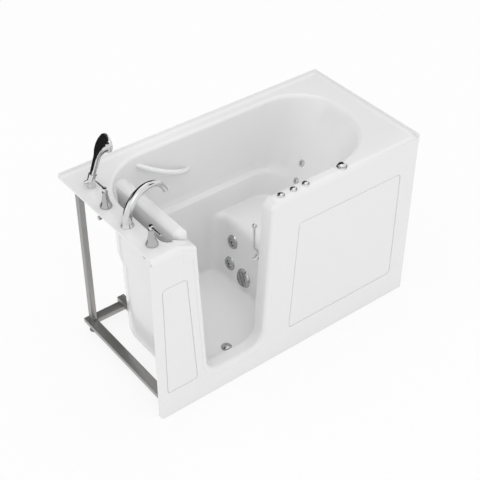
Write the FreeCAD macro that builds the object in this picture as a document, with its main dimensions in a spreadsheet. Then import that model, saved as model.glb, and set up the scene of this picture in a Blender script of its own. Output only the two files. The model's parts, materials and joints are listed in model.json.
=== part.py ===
import FreeCAD, Part
import math
import os
import re
import Sketcher

# Walk-in tub with water jets: moulded basin with a seat, an inward door, a steel base frame,
# deck taps, jets and the pump under the seat.
# Frame: +X along the length towards the backrest, +Y to the wall side, +Z up, millimetres.
# The origin is under the middle of the tub, on the floor.

V = FreeCAD.Vector
doc = FreeCAD.newDocument("walk_in_tub")
sheet = doc.addObject("Spreadsheet::Sheet", "Sizes")

SIZES = {
    # Overall shell and deck
    "tub_length": 1524, "tub_width": 762, "deck_height": 948, "deck_thickness": 10,
    "roll_radius": 30, "shell_wall": 8, "upstand_height": 17, "upstand_thickness": 10,
    "upstand_corner": 8, "upstand_cove": 9, "rim_round": 16, "cut_past": 1,
    "bore_reach": 32,
    # Basin opening in the deck
    "basin_left_inset": 112, "basin_right_inset": 129,
    "basin_front_inset": 75, "basin_back_inset": 76,
    "rim_back_left_share": 0.4746, "rim_back_right_share": 0.3764,
    "rim_front_right_share": 0.5565, "rim_front_left": 44,
    # Backrest, arm ledge, seat, riser and footwell
    "ledge_height": 575, "ledge_width": 36, "ledge_cove": 16, "ledge_cove_foot": 3,
    "ledge_cove_depth": 4, "ledge_flat": 26, "ledge_lip": 8, "upper_back_draft": 5,
    "seat_height": 441, "seat_fall": 1, "seat_round": 40, "seat_back_inset": 397,
    "seat_back_right": 120, "seat_front_right": 150, "nose_inset": 709, "nose_round": 40,
    "riser_draft": 40, "riser_corner": 70, "floor_height": 96, "floor_round": 20,
    "left_draft": 38, "floor_back_left": 200, "lower_back_draft": 14,
    # Doorway and its frame
    "door_left_inset": 226, "door_width_share": 0.66448, "door_slope": 0.055, "sill_height": 132,
    "door_corner": 85, "frame_band": 30, "frame_lip": 24, "shoulder_depth": 80,
    "shoulder_left_run": 79, "shoulder_left_drop": 38, "shoulder_right_run": 26, "shoulder_right_drop": 34,
    # Door leaf, seal and hinges
    "leaf_thickness": 62, "leaf_lap": 24, "leaf_edge_round": 10, "leaf_rise": 17, "leaf_top_round": 26,
    "seal_gap": 6, "seal_thickness": 5.5, "seal_inner": 3, "seal_width": 8,
    "door_open_turn": 90, "hinge_inset": 20, "hinge_offset": 16, "notch_reach": 10.5, "notch_height": 62,
    "hinge_low": 230, "hinge_top_drop": 128, "eye_radius": 8.5, "pin_radius": 4,
    "pin_clearance": 0.05, "pin_seat": 15, "arm_width": 12, "bracket_thickness": 3.7,
    "bracket_left": 19, "bracket_right": 9, "bracket_trim": 2,
    # Latch lever on the wall beside the doorway
    "latch_clear": 44, "latch_z": 532, "latch_post_radius": 9, "latch_flange_radius": 20,
    "latch_flange_thickness": 6, "latch_reach": 74, "latch_hub_radius": 13, "latch_hub_length": 20,
    "latch_rod_radius": 5, "latch_offset": 22, "latch_rise": 40, "latch_bend": 28,
    "latch_length": 195, "latch_ball_radius": 12, "latch_bar_length": 18, "run_gap": 0.3,
    # Front apron and its access panels
    "apron_wall": 8, "apron_return": 30, "apron_corner": 10, "apron_foot_gap": 2,
    "panel_low": 152, "panel_top_drop": 176, "panel_corner": 18, "panel_gap": 4, "panel_sink": 2,
    "panel_thickness": 4, "panel_ledge": 12, "left_panel_end_inset": 40, "left_panel_door_gap": 64,
    "right_panel_door_gap": 158, "right_panel_end_inset": 107, "panel_slope": 0.063,
    # Base frame
    "base_end_inset": 42, "base_front_inset": 36, "base_back_inset": 6, "rail_width": 50,
    "rail_height": 25, "rail_low": 30, "tube_wall": 3, "post_size": 30, "post_inset": 18,
    "bearer_width": 40, "bearer_left_inset": 262, "bearer_mid_share": 0.627, "bearer_seat_gap": 85,
    "bearer_pump_gap": 85, "seat_leg_front_gap": 106, "seat_leg_back_gap": 70,
    "foot_pad_radius": 22, "foot_pad_height": 8, "foot_stem_radius": 6, "foot_nut_radius": 11,
    "foot_nut_height": 6, "foot_cone": 4,
    # Deck taps
    "tap_inset": 54, "hot_shift": 12, "tap_pitch_share": 0.2205, "spout_share": 0.3583,
    "bell_radius": 28, "bell_waist": 13, "bell_shoulder": 18, "bell_height": 78, "bell_foot": 5,
    "bell_flare": 30, "tap_shank_radius": 14, "tap_shank_length": 60, "tap_tee_reach": 18,
    "tap_nut_radius": 22, "tap_nut_height": 8, "inlet_radius": 10.65, "inlet_length": 25,
    "lever_hub_radius": 10, "lever_hub_height": 20, "lever_length": 70, "lever_root": 6,
    "lever_tip": 3.5, "lever_drop": 6,
    "spout_foot_radius": 31, "spout_foot_height": 20, "spout_root": 23, "spout_tip": 13,
    "spout_arc": 119, "spout_sweep": 71, "spout_yaw": 11,
    # Hand shower and its holder
    "shower_inset": 80, "shower_share": 0.7913, "holder_radius": 21, "holder_height": 34,
    "holder_waist": 15, "cup_radius": 19, "cup_height": 30, "cup_bore": 14.3, "cup_depth": 24,
    "shower_lean": 21, "grip_low": 12.8, "grip_high": 17, "grip_length": 115, "head_steps": 4,
    "head_radius": 45, "head_depth": 12, "head_edge": 4, "head_turn": 72, "head_throw": 36, "head_rise": 62,
    "elbow_radius": 9, "elbow_length": 34,
    # Overflow with the drain control knob
    "overflow_arc_gap": 9, "overflow_drop": 40, "overflow_radius": 20, "overflow_washer": 1.2,
    "overflow_depth": 7, "overflow_stem": 12, "overflow_back": 30, "knob_radius": 14,
    "knob_depth": 18, "knob_dome": 3,
    # Floor drain
    "drain_door_gap": 236, "drain_wall_gap": 48, "drain_flange": 27, "drain_throat": 22,
    "throat_length": 20, "drain_lip": 2.5, "tailpiece_radius": 19.05, "drain_bore": 15,
    "tailpiece_length": 70, "spigot_radius": 8, "spigot_length": 10, "stopper_radius": 20,
    "stopper_height": 6, "stopper_lift": 0.3,
    # Deck buttons and the air control
    "button_front_inset": 41, "button_door_gap": 74, "button_pitch": 71, "bezel_radius": 18,
    "bezel_height": 6, "bezel_bevel": 2, "bezel_floor": 0.5, "button_floor_gap": 0.5,
    "button_radius": 13, "button_clearance": 0.4, "button_travel": 3,
    "button_height": 7, "button_dome": 3, "button_stem": 5, "button_stem_length": 22,
    "air_share": 0.3225, "air_front_inset": 43, "air_base_radius": 26, "air_base_height": 7,
    "air_base_bevel": 2, "air_sink": 3, "air_stem": 10, "air_stem_length": 40,
    "air_knob_radius": 21, "air_knob_top": 19, "air_knob_height": 11, "air_flutes": 12,
    "air_flute_radius": 2.6,
    # Jets and suction in the riser and the backrest
    "jet_upper_z": 322, "jet_lower_z": 189, "jet_back_gap": 165, "jet_ring_radius": 38,
    "jet_ring_depth": 6, "jet_ring_lip": 3, "jet_bore": 20.4, "jet_bore_depth": 24,
    "jet_body_radius": 28, "jet_body_length": 48, "jet_nozzle_radius": 20, "jet_mouth": 7,
    "jet_mouth_depth": 14, "jet_nozzle_depth": 20, "jet_nozzle_dome": 6, "jet_nozzle_crown": 12,
    "jet_pipe_sink": 8,
    "back_jet_upper_z": 647, "back_jet_lower_z": 566, "back_jet_upper_gap": 193,
    "back_jet_lower_gap": 208, "back_jet_scale": 0.5,
    "suction_jet_gap": 118, "suction_z": 171, "suction_radius": 52, "suction_depth": 11,
    "suction_crown": 8, "suction_slot": 5, "suction_pitch": 11, "suction_slots": 7,
    "suction_margin": 10, "suction_body_radius": 36, "suction_body_length": 46,
    # Grab bar on the back wall
    "grab_left_inset": 364, "grab_left_drop": 56, "grab_right_inset": 666, "grab_right_drop": 206,
    "grab_radius": 13, "grab_standoff": 48, "grab_root": 14,
    # Pump and pipework under the seat
    "pump_nose_gap": 175, "volute_radius": 72, "volute_depth": 70, "volute_round": 14,
    "volute_neck": 30, "volute_neck_length": 26, "motor_radius": 66, "motor_length": 230,
    "motor_fins": 16, "motor_fin_depth": 4, "motor_fin_width": 5, "motor_cap": 18,
    "pump_foot_width": 120, "pump_foot_length": 60, "pipe_radius": 24,
    "branch_radius": 17, "back_branch_radius": 8, "manifold_nose_gap": 95, "back_pipe_inset": 122,
    "pipe_bend": 40,
}

for row, (alias, value) in enumerate(SIZES.items(), start=1):
    sheet.set("A%d" % row, alias)
    sheet.set("B%d" % row, str(value))
    sheet.setAlias("B%d" % row, alias)
doc.recompute()


def size(alias):
    """One driving dimension, read from the sheet."""
    return float(sheet.get(alias))


def bound(text):
    """An expression in plain aliases, written with the sheet's name in front of each."""
    return re.sub(r"[a-z][a-z_]*", lambda word: "Sizes." + word.group(0), text)


def worth(text):
    """The number that an expression in plain aliases comes to."""
    return float(sheet.evalExpression(bound(text)))


# Driving planes
left_end = -size("tub_length") / 2
right_end = size("tub_length") / 2
front_face = -size("tub_width") / 2
back_edge = size("tub_width") / 2
deck_z = size("deck_height")
lip_clear = size("upstand_height")
past = size("cut_past")
NEAR = 1e-6
wall_y = front_face + size("basin_front_inset")
basin_back = back_edge - size("basin_back_inset")
basin_width = basin_back - wall_y
leaf_outer_y = wall_y + size("seal_gap")
hinge_y = leaf_outer_y + size("hinge_inset")
door_left = left_end + size("door_left_inset")
door_width = basin_width * size("door_width_share")
door_right = door_left + door_width
hinge_x = door_left - size("hinge_offset")
latch_x = door_right + size("latch_clear")
nose_x = right_end - size("nose_inset")
seat_back_x = right_end - size("seat_back_inset")
tap_x = left_end + size("tap_inset")
tap_pitch = size("tub_width") * size("tap_pitch_share")
spout_y = front_face + size("tub_width") * size("spout_share")
jet_y = basin_back - size("jet_back_gap")
suction_y = jet_y - size("suction_jet_gap")


# General modelling helpers
def feature(label, shape):
    """A document object that holds a finished shape."""
    made = doc.addObject("Part::Feature", label)
    made.Shape = shape
    return made


def primitive(kind, label, **sizes):
    """A Part primitive whose sizes are bound to the sheet."""
    made = doc.addObject("Part::" + kind, label)
    for name, text in sizes.items():
        made.setExpression(name, bound(text))
    return made


def cylinder(label, radius, height):
    return primitive("Cylinder", label, Radius=radius, Height=height)


def place(made, at, direction=V(0, 0, 1)):
    """Stand an object that was made along +Z on a point, facing a direction."""
    made.Placement = FreeCAD.Placement(at, FreeCAD.Rotation(V(0, 0, 1), direction))
    return made


def origin_plane(body, role):
    return [plane for plane in body.Origin.OriginFeatures if plane.Role == role][0]


def outline_sketch(body, role, points):
    """A closed polygon whose corners are bound to the sheet."""
    sketch = body.newObject("Sketcher::SketchObject", body.Label + "_outline")
    sketch.AttachmentSupport = [(origin_plane(body, role), "")]
    sketch.MapMode = "FlatFace"
    corners = [(worth(across), worth(up)) for across, up in points]
    for index, start in enumerate(corners):
        end = corners[(index + 1) % len(corners)]
        sketch.addGeometry(Part.LineSegment(V(*start, 0), V(*end, 0)), False)
    for index in range(len(corners)):
        after = (index + 1) % len(corners)
        sketch.addConstraint(Sketcher.Constraint("Coincident", index, 2, after, 1))
    for index, texts in enumerate(points):
        for kind, axis, text in (("DistanceX", -2, texts[0]), ("DistanceY", -1, texts[1])):
            if abs(worth(text)) < NEAR:
                sketch.addConstraint(Sketcher.Constraint("PointOnObject", index, 1, axis))
            else:
                rule = Sketcher.Constraint(kind, -1, 1, index, 1, worth(text))
                number = sketch.addConstraint(rule)
                sketch.setExpression("Constraints[%d]" % number, bound(text))
    return sketch


def turned(label, profile):
    """A lathe piece: (radius, height) corners turned about +Z."""
    body = doc.addObject("PartDesign::Body", label)
    sketch = outline_sketch(body, "XZ_Plane", profile)
    spin = body.newObject("PartDesign::Revolution", label + "_turn")
    spin.Profile = sketch
    spin.ReferenceAxis = (sketch, ["V_Axis"])
    spin.Angle = 360
    return body


def rod(points, radius, bend):
    """A round bar along straight runs that are joined by tangent arcs."""
    edges = []
    start = points[0]
    for before, corner, after in zip(points, points[1:], points[2:]):
        into = (corner - before).normalize()
        out = (after - corner).normalize()
        half = into.getAngle(out) / 2
        trim = bend * math.tan(half)
        first = corner - into * trim
        last = corner + out * trim
        middle = corner + (out - into).normalize() * (bend / math.cos(half) - bend)
        edges.append(Part.makeLine(start, first))
        edges.append(Part.Arc(first, middle, last).toShape())
        start = last
    edges.append(Part.makeLine(start, points[-1]))
    path = Part.Wire(edges)
    section = Part.Wire(Part.makeCircle(radius, points[0], points[1] - points[0]))
    return path.makePipeShell([section], True, False)


def prism(corners, y_from, y_to, radius, rounded):
    """An outline of (x, z) corners carried along Y, with the named corners rounded."""
    points = [V(x, y_from, z) for x, z in corners]
    solid = Part.Face(Part.makePolygon(points + points[:1])).extrude(V(0, y_to - y_from, 0))
    chosen = []
    for edge in solid.Edges:
        ends = [vertex.Point for vertex in edge.Vertexes]
        if abs(ends[0].y - ends[1].y) > NEAR:
            if any(math.hypot(ends[0].x - corners[n][0], ends[0].z - corners[n][1]) < NEAR for n in rounded):
                chosen.append(edge)
    return solid.makeFillet(radius, chosen)


# Moulded shell: level rings from the rim down to the footwell floor
def ring(z, left, right, front, back, corners):
    """A rounded rectangle at one level; corners run back-left, back-right, front-right, front-left."""
    back_left, back_right, front_right, front_left = corners
    spots = (
        (left + back_left, back - back_left, back_left, 180),
        (right - back_right, back - back_right, back_right, 90),
        (right - front_right, front + front_right, front_right, 0),
        (left + front_left, front + front_left, front_left, -90),
    )
    edges = []
    arcs = []
    for x, y, radius, start in spots:
        turn = [math.radians(start - part) for part in (0, 45, 90)]
        arcs.append([V(x + radius * math.cos(a), y + radius * math.sin(a), z) for a in turn])
    for arc, following in zip(arcs, arcs[1:] + arcs[:1]):
        edges.append(Part.Arc(*arc).toShape())
        edges.append(Part.makeLine(arc[2], following[0]))
    return Part.Wire(edges)


def between(low, high, share):
    return low + (high - low) * share


seat_top = size("seat_height")
nose_top = seat_top - size("seat_fall")
nose_foot = nose_top - size("nose_round")
floor_top = size("floor_height")
rim_z = deck_z - size("rim_round")
backrest_foot_z = seat_top + size("seat_round")
basin_left = left_end + size("basin_left_inset")
basin_right = right_end - size("basin_right_inset")
riser_foot_z = floor_top + size("floor_round")
riser_foot_x = nose_x - size("riser_draft")


def left_wall(z):
    """The tap end wall leans in towards the floor."""
    return basin_left + size("left_draft") * (deck_z - z) / (deck_z - floor_top)


def backrest(z):
    """The backrest slopes from the rim down to the seat."""
    share = (z - backrest_foot_z) / (deck_z - backrest_foot_z)
    return between(seat_back_x, basin_right, share)


def riser(z):
    """The seat riser leans forward towards the floor."""
    return between(riser_foot_x, nose_x, (z - riser_foot_z) / (nose_foot - riser_foot_z))


def corner_set(z):
    """The corner radii shrink from the rim towards the seat and the footwell."""
    low = (z - floor_top) / (deck_z - floor_top)
    upper = max(0.0, (z - seat_top) / (deck_z - seat_top))
    back_left = between(size("floor_back_left"), basin_width * size("rim_back_left_share"), low)
    back_right = between(size("seat_back_right"), basin_width * size("rim_back_right_share"), upper)
    front_right = between(size("seat_front_right"), basin_width * size("rim_front_right_share"), upper)
    if z < seat_top:
        back_right = front_right = size("riser_corner")
    return [back_left, back_right, front_right, size("rim_front_left")]


def bowl_levels():
    """Every level of the basin: height, right wall, step of the back wall, inset all round."""
    levels = []
    quarter = [math.radians(a) for a in (0, 30, 60, 90)]
    lip = size("rim_round")
    for a in quarter:
        z = deck_z - lip * (1 - math.cos(a))
        levels.append((z, backrest(z), 0.0, -lip * (1 - math.sin(a))))
    ledge = size("ledge_height")
    step = size("ledge_width")
    profile = ((size("ledge_cove"), 0.0), (size("ledge_cove_foot"), size("ledge_cove_depth")),
               (0.0, size("ledge_flat")), (-size("ledge_lip"), step))
    for rise, depth in profile:
        levels.append((ledge + rise, backrest(ledge + rise), depth, 0.0))
    bend = size("seat_round")
    for a in quarter:
        z = backrest_foot_z - bend * math.sin(a)
        levels.append((z, seat_back_x - bend * (1 - math.cos(a)), step, 0.0))
    nose = size("nose_round")
    for a in quarter:
        z = nose_top - nose * (1 - math.cos(a))
        levels.append((z, nose_x + nose * (1 - math.sin(a)), step, 0.0))
    cove = size("floor_round")
    for a in quarter:
        z = riser_foot_z - cove * math.sin(a)
        levels.append((z, riser_foot_x, step, cove * (1 - math.cos(a))))
    return levels


def bowl(grow):
    """The basin's space, or with a wall's thickness added, its outer skin."""
    wires = []
    for z, right, step, inset in bowl_levels():
        edge = grow - inset
        back = basin_back - step
        share = (deck_z - z) / (deck_z - size("ledge_height"))
        back -= size("upper_back_draft") * min(share, 1.0) + size("lower_back_draft") * max(share - 1.0, 0.0)
        corners = [radius + edge for radius in corner_set(z)]
        sides = (left_wall(z) - edge, right + edge, wall_y - edge, back + edge)
        if grow == 0.0:
            if not wires:
                wires.append(ring(z + lip_clear, *sides, corners))
            wires.append(ring(z, *sides, corners))
        elif z <= rim_z:
            if not wires:
                wires.append(ring(deck_z - size("deck_thickness") / 2, *sides, corners))
            wires.append(ring(z - grow, *sides, corners))
    return Part.makeLoft(wires, True, True)


def deck_plate():
    """The deck with its rolled front edge, as one section carried along the length."""
    thick = size("deck_thickness")
    roll = size("roll_radius")
    start = front_face + roll
    centre_z = deck_z - roll
    inner = roll - thick
    diagonal = math.sqrt(0.5)
    points = [V(left_end, back_edge, deck_z), V(left_end, start, deck_z)]
    outer_mid = V(left_end, start - roll * diagonal, centre_z + roll * diagonal)
    lower = V(left_end, front_face, centre_z)
    lower_in = V(left_end, front_face + thick, centre_z)
    inner_mid = V(left_end, start - inner * diagonal, centre_z + inner * diagonal)
    under = V(left_end, start, deck_z - thick)
    under_back = V(left_end, back_edge, deck_z - thick)
    section = Part.Wire([
        Part.makeLine(points[0], points[1]),
        Part.Arc(points[1], outer_mid, lower).toShape(),
        Part.makeLine(lower, lower_in),
        Part.Arc(lower_in, inner_mid, under).toShape(),
        Part.makeLine(under, under_back),
        Part.makeLine(under_back, points[0]),
    ])
    return Part.Face(section).extrude(V(size("tub_length"), 0, 0))


def upstand():
    """The tiling upstand along the wall side and the backrest end, coved into the deck."""
    thick = size("upstand_thickness")
    base = deck_z - size("deck_thickness")
    high = deck_z + size("upstand_height") - base
    top = base + high
    end = Part.makeBox(thick, size("tub_width"), high, V(right_end - thick, front_face, base))
    back = Part.makeBox(size("tub_length"), thick, high, V(left_end, back_edge - thick, base))
    strip = end.fuse(back).removeSplitter()
    corners = [edge for edge in strip.Edges if all(abs(v.Z - top) < NEAR for v in edge.Vertexes)
               and (all(abs(v.Y - front_face) < NEAR for v in edge.Vertexes)
                    or all(abs(v.X - left_end) < NEAR for v in edge.Vertexes))]
    return strip.makeFillet(size("upstand_corner"), corners)


def upstand_cove():
    """The soft hollow between the deck and the foot of the upstand."""
    cove = size("upstand_cove")
    inner_x = right_end - size("upstand_thickness")
    inner_y = back_edge - size("upstand_thickness")
    start_y = front_face + size("roll_radius")
    pad = size("deck_thickness") / 2
    low = deck_z - pad
    lift = V(0, 0, cove + pad)
    end_low = V(inner_x - cove, start_y, low)
    end = Part.makeBox(cove, inner_y - start_y, cove + pad, end_low)
    end = end.cut(Part.makeCylinder(cove, inner_y - start_y, end_low + lift, V(0, 1, 0)))
    back_low = V(left_end, inner_y - cove, low)
    back = Part.makeBox(inner_x - left_end, cove, cove + pad, back_low)
    back = back.cut(Part.makeCylinder(cove, inner_x - left_end, back_low + lift, V(1, 0, 0)))
    return [end, back]


def doorway(grow, y_from, y_to, drop=0.0):
    """The tapered doorway outline, grown outwards, carried along Y."""
    lean = size("door_slope")
    spread = grow * math.sqrt(1 + lean * lean)
    top = deck_z + lip_clear - drop
    low = size("sill_height") - grow
    left = door_left - spread
    right = door_right + spread
    corners = [(left + lean * (deck_z - top), top), (left + lean * (deck_z - low), low),
               (right - lean * (deck_z - low), low), (right - lean * (deck_z - top), top)]
    return prism(corners, y_from, y_to, size("door_corner") + grow, (1, 2))


def frame_outline(y_from, y_to):
    """The doorway with its frame's band, and the sloping shoulder beside the hinges."""
    run = size("shoulder_left_run")
    low = deck_z - size("shoulder_depth")
    high = deck_z + lip_clear - low
    shoulder = Part.makeBox(run, y_to - y_from, high, V(door_left - run, y_from, low))
    return doorway(size("frame_band"), y_from, y_to).fuse(shoulder).removeSplitter()


riser_lean = math.atan2(size("riser_draft"), nose_foot - riser_foot_z)
riser_normal = V(-math.cos(riser_lean), 0, math.sin(riser_lean))
rest_lean = math.atan2(basin_right - seat_back_x, deck_z - backrest_foot_z)
rest_normal = V(-math.cos(rest_lean), 0, math.sin(rest_lean))
end_lean = math.atan2(size("left_draft"), deck_z - floor_top)
end_normal = V(math.cos(end_lean), 0, math.sin(end_lean))

overflow_z = deck_z - size("overflow_drop")
overflow_y = basin_back - basin_width * size("rim_back_left_share") + size("overflow_arc_gap")
overflow_at = V(left_wall(overflow_z), overflow_y, overflow_z)
suction_at = V(riser(size("suction_z")), suction_y, size("suction_z"))
riser_jets = {
    "upper": V(riser(size("jet_upper_z")), jet_y, size("jet_upper_z")),
    "lower": V(riser(size("jet_lower_z")), jet_y, size("jet_lower_z")),
}
back_jets = {}
for name in ("upper", "lower"):
    level = size("back_jet_%s_z" % name)
    back_jets[name] = V(backrest(level), basin_back - size("back_jet_%s_gap" % name), level)
tap_rows = {
    "hot": V(tap_x + size("hot_shift"), spout_y - tap_pitch, deck_z),
    "cold": V(tap_x, spout_y + tap_pitch, deck_z),
}
spout_at = V(tap_x, spout_y, deck_z)
shower_y = front_face + size("tub_width") * size("shower_share")
shower_at = V(left_end + size("shower_inset"), shower_y, deck_z)
drain_at = V(door_left + size("drain_door_gap"), wall_y + size("drain_wall_gap"), floor_top)
button_spots = {
    name: V(door_right + size("button_door_gap") + number * size("button_pitch"),
            front_face + size("button_front_inset"), deck_z)
    for number, name in enumerate(("pump", "air", "light"))
}
air_x = between(button_spots["light"].x, right_end, size("air_share"))
air_at = V(air_x, front_face + size("air_front_inset"), deck_z - size("air_sink"))
wall = size("shell_wall")


def bore(at, normal, radius):
    """A round hole through the shell wall."""
    reach = size("bore_reach")
    return Part.makeCylinder(radius, 2 * reach, at - normal * reach, normal)


def shell():
    """Deck, basin, seat, footwell and upstand as one moulding."""
    up = V(0, 0, 1)
    body = deck_plate().fuse([bowl(wall), upstand(), *upstand_cove()]).cut(bowl(0.0))
    holes = [frame_outline(front_face - past, wall_y + past)]
    shank = size("tap_shank_radius")
    holes += [bore(at, up, shank) for at in (*tap_rows.values(), spout_at, shower_at)]
    holes += [bore(at, up, size("button_stem")) for at in button_spots.values()]
    holes += [bore(air_at, up, size("air_stem"))]
    holes += [Part.makeCylinder(size("air_base_radius"), 2 * size("air_sink"), air_at)]
    holes += [bore(at, riser_normal, size("jet_body_radius")) for at in riser_jets.values()]
    small = size("jet_body_radius") * size("back_jet_scale")
    holes += [bore(at, rest_normal, small) for at in back_jets.values()]
    holes += [bore(suction_at, riser_normal, size("suction_body_radius"))]
    holes += [bore(drain_at, up, size("drain_throat"))]
    holes += [bore(overflow_at, end_normal, size("overflow_stem"))]
    return body.cut(holes).removeSplitter()


feature("tub_shell", shell())


# Doorway frame: the jambs and the sill between the apron and the basin wall
def front_wall(x, top, along_x, fall):
    """The front wall's section with its rolled top edge, carried along X and down by a fall."""
    roll = size("roll_radius")
    centre = V(x, front_face + roll, top - roll)
    diagonal = roll * math.sqrt(0.5)
    foot = centre - V(0, roll, 0)
    crown = centre + V(0, 0, roll)
    bend = Part.Arc(foot, centre + V(0, -diagonal, diagonal), crown)
    flats = Part.makePolygon([crown, V(x, wall_y, top), V(x, wall_y, 0), V(x, front_face, 0), foot])
    section = Part.Wire([bend.toShape(), flats])
    return Part.Face(section).extrude(V(along_x, 0, -fall))


def shoulders():
    """The space under the deck beside the doorway, which slopes down to both jambs."""
    parts = []
    half = door_width / 2
    for edge, side in ((door_left, "left"), (door_right, "right")):
        run = size("shoulder_%s_run" % side)
        drop = size("shoulder_%s_drop" % side)
        way = 1 if side == "left" else -1
        parts.append(front_wall(edge - way * run, deck_z, way * run, drop))
        parts.append(front_wall(edge, deck_z - drop, way * half, 0.0))
    parts.append(front_wall(door_right + size("shoulder_right_run"), deck_z, size("frame_band"), 0.0))
    return parts[0].fuse(parts[1:])


def door_frame():
    space = doorway(0.0, front_face - past, wall_y + past)
    ring_solid = frame_outline(front_face, wall_y).cut(doorway(0.0, front_face, wall_y))
    lips = []
    for edge in ring_solid.Edges:
        middle = edge.valueAt((edge.FirstParameter + edge.LastParameter) / 2)
        on_front = all(abs(vertex.Y - front_face) < NEAR for vertex in edge.Vertexes)
        if on_front and Part.Vertex(middle).distToShape(space.Shells[0])[0] < NEAR:
            lips.append(edge)
    return ring_solid.makeFillet(size("frame_lip"), lips).common(shoulders()).removeSplitter()


feature("door_frame", door_frame())


# Front apron with its two access panels
def panel_outline(left, right, left_lean, right_lean, grow):
    low = size("panel_low") - grow
    high = deck_z - size("panel_top_drop") + grow
    fall = high - low
    return [(left - grow, high), (left - grow + left_lean * fall, low),
            (right + grow + right_lean * fall, low), (right + grow, high)]


def panel(side, grow, y_from, y_to):
    lean = size("panel_slope")
    if side == "left":
        left = left_end + size("left_panel_end_inset")
        right = door_left - size("left_panel_door_gap")
    else:
        left = door_right + size("right_panel_door_gap")
        right = right_end - size("right_panel_end_inset")
    leans = (0.0, lean) if side == "left" else (-lean, 0.0)
    outline = panel_outline(left, right, *leans, grow)
    return prism(outline, y_from, y_to, size("panel_corner") + grow, (0, 1, 2, 3))


def apron():
    thick = size("apron_wall")
    deep = size("apron_return")
    low = size("apron_foot_gap")
    high = deck_z - size("roll_radius") - low
    outer = Part.makeBox(size("tub_length"), deep, high, V(left_end, front_face, low))
    uprights = [e for e in outer.Edges if abs(e.Vertexes[0].Z - e.Vertexes[1].Z) > NEAR
                and abs(e.Vertexes[0].Y - front_face) < NEAR]
    outer = outer.makeFillet(size("apron_corner"), uprights)
    inner_low = V(left_end + thick, front_face + thick, low)
    inner = Part.makeBox(size("tub_length") - 2 * thick, deep, high, inner_low)
    cuts = [inner, frame_outline(front_face - past, wall_y)]
    seat = size("panel_sink") + size("panel_thickness")
    for side in ("left", "right"):
        cuts.append(panel(side, size("panel_gap"), front_face - past, front_face + seat))
        cuts.append(panel(side, -size("panel_ledge"), front_face - past, front_face + 2 * thick))
    return outer.cut(cuts)


feature("front_apron", apron())
for side in ("left", "right"):
    face = front_face + size("panel_sink")
    feature("access_panel_" + side, panel(side, 0.0, face, face + size("panel_thickness")))


# Base frame: welded rails, bearers, posts and seat legs
rail = size("rail_width")
rail_low = size("rail_low")
rail_top = rail_low + size("rail_height")
base_left = left_end + size("base_end_inset")
base_right = -base_left
base_front = front_face + size("base_front_inset")
base_back = back_edge - size("base_back_inset")


def tube(label, low, high, axis):
    """A rectangular steel tube between two corners, open along one axis."""
    skin = size("tube_wall")
    span = high - low
    solid = Part.makeBox(span.x, span.y, span.z, low)
    pad = V(*(0 if n == axis else skin for n in range(3)))
    hollow = span - pad * 2
    return feature(label, solid.cut(Part.makeBox(hollow.x, hollow.y, hollow.z, low + pad)))


long_left = base_left + rail
long_right = base_right - rail
tube("base_rail_left", V(base_left, base_front, rail_low), V(long_left, base_back, rail_top), 1)
tube("base_rail_right", V(long_right, base_front, rail_low), V(base_right, base_back, rail_top), 1)
tube("base_rail_front", V(long_left, base_front, rail_low), V(long_right, base_front + rail, rail_top), 0)
tube("base_rail_back", V(long_left, base_back - rail, rail_low), V(long_right, base_back, rail_top), 0)

floor_under = floor_top - wall
half_bearer = size("bearer_width") / 2
bearers = {
    "left": left_end + size("bearer_left_inset"),
    "seat": nose_x + size("bearer_seat_gap"),
    "pump": seat_back_x + size("bearer_pump_gap"),
}
bearers["mid"] = between(bearers["left"], bearers["seat"], size("bearer_mid_share"))
for name, x in bearers.items():
    low = V(x - half_bearer, base_front, rail_top)
    tube("bearer_" + name, low, V(x + half_bearer, base_back, floor_under), 1)

post = size("post_size")
inset = size("post_inset")
deck_under = deck_z - size("deck_thickness")
for side, x in (("left", base_left + inset), ("right", base_right - inset - post)):
    for depth, y in (("front", base_front), ("back", base_back - rail)):
        tube("post_%s_%s" % (depth, side), V(x, y, rail_top), V(x + post, y + post, deck_under), 2)

seat_under = nose_top - wall - size("run_gap")
legs = []
for y in (wall_y + size("seat_leg_front_gap"), basin_back - size("seat_leg_back_gap")):
    low = V(bearers["seat"] - post / 2, y - post / 2, floor_under)
    legs.append(Part.makeBox(post, post, seat_under - floor_under, low))
feature("seat_legs", Part.makeCompound(legs))

for side, x in (("left", base_left + rail / 2), ("right", base_right - rail / 2)):
    for depth, y in (("front", base_front + rail), ("back", base_back - rail)):
        foot = turned("foot_%s_%s" % (depth, side), [
            ("0", "0"), ("foot_pad_radius", "0"), ("foot_pad_radius", "foot_pad_height - foot_cone"),
            ("foot_nut_radius", "foot_pad_height"), ("foot_stem_radius", "foot_pad_height"),
            ("foot_stem_radius", "rail_low - foot_nut_height"),
            ("foot_nut_radius", "rail_low - foot_nut_height"), ("foot_nut_radius", "rail_low"),
            ("0", "rail_low"),
        ])
        place(foot, V(x, y, 0))


# Door leaf, modelled shut and then swung open about its hinge line
hinge_line = V(hinge_x, hinge_y, 0)
swing_open = FreeCAD.Placement(V(0, 0, 0), FreeCAD.Rotation(V(0, 0, 1), size("door_open_turn")), hinge_line)
leaf_left = hinge_x - size("hinge_inset")
leaf_inner_y = leaf_outer_y + size("leaf_thickness")
notch = size("notch_height")
hinge_levels = {"lower": size("hinge_low"), "upper": deck_z - size("hinge_top_drop")}


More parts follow.
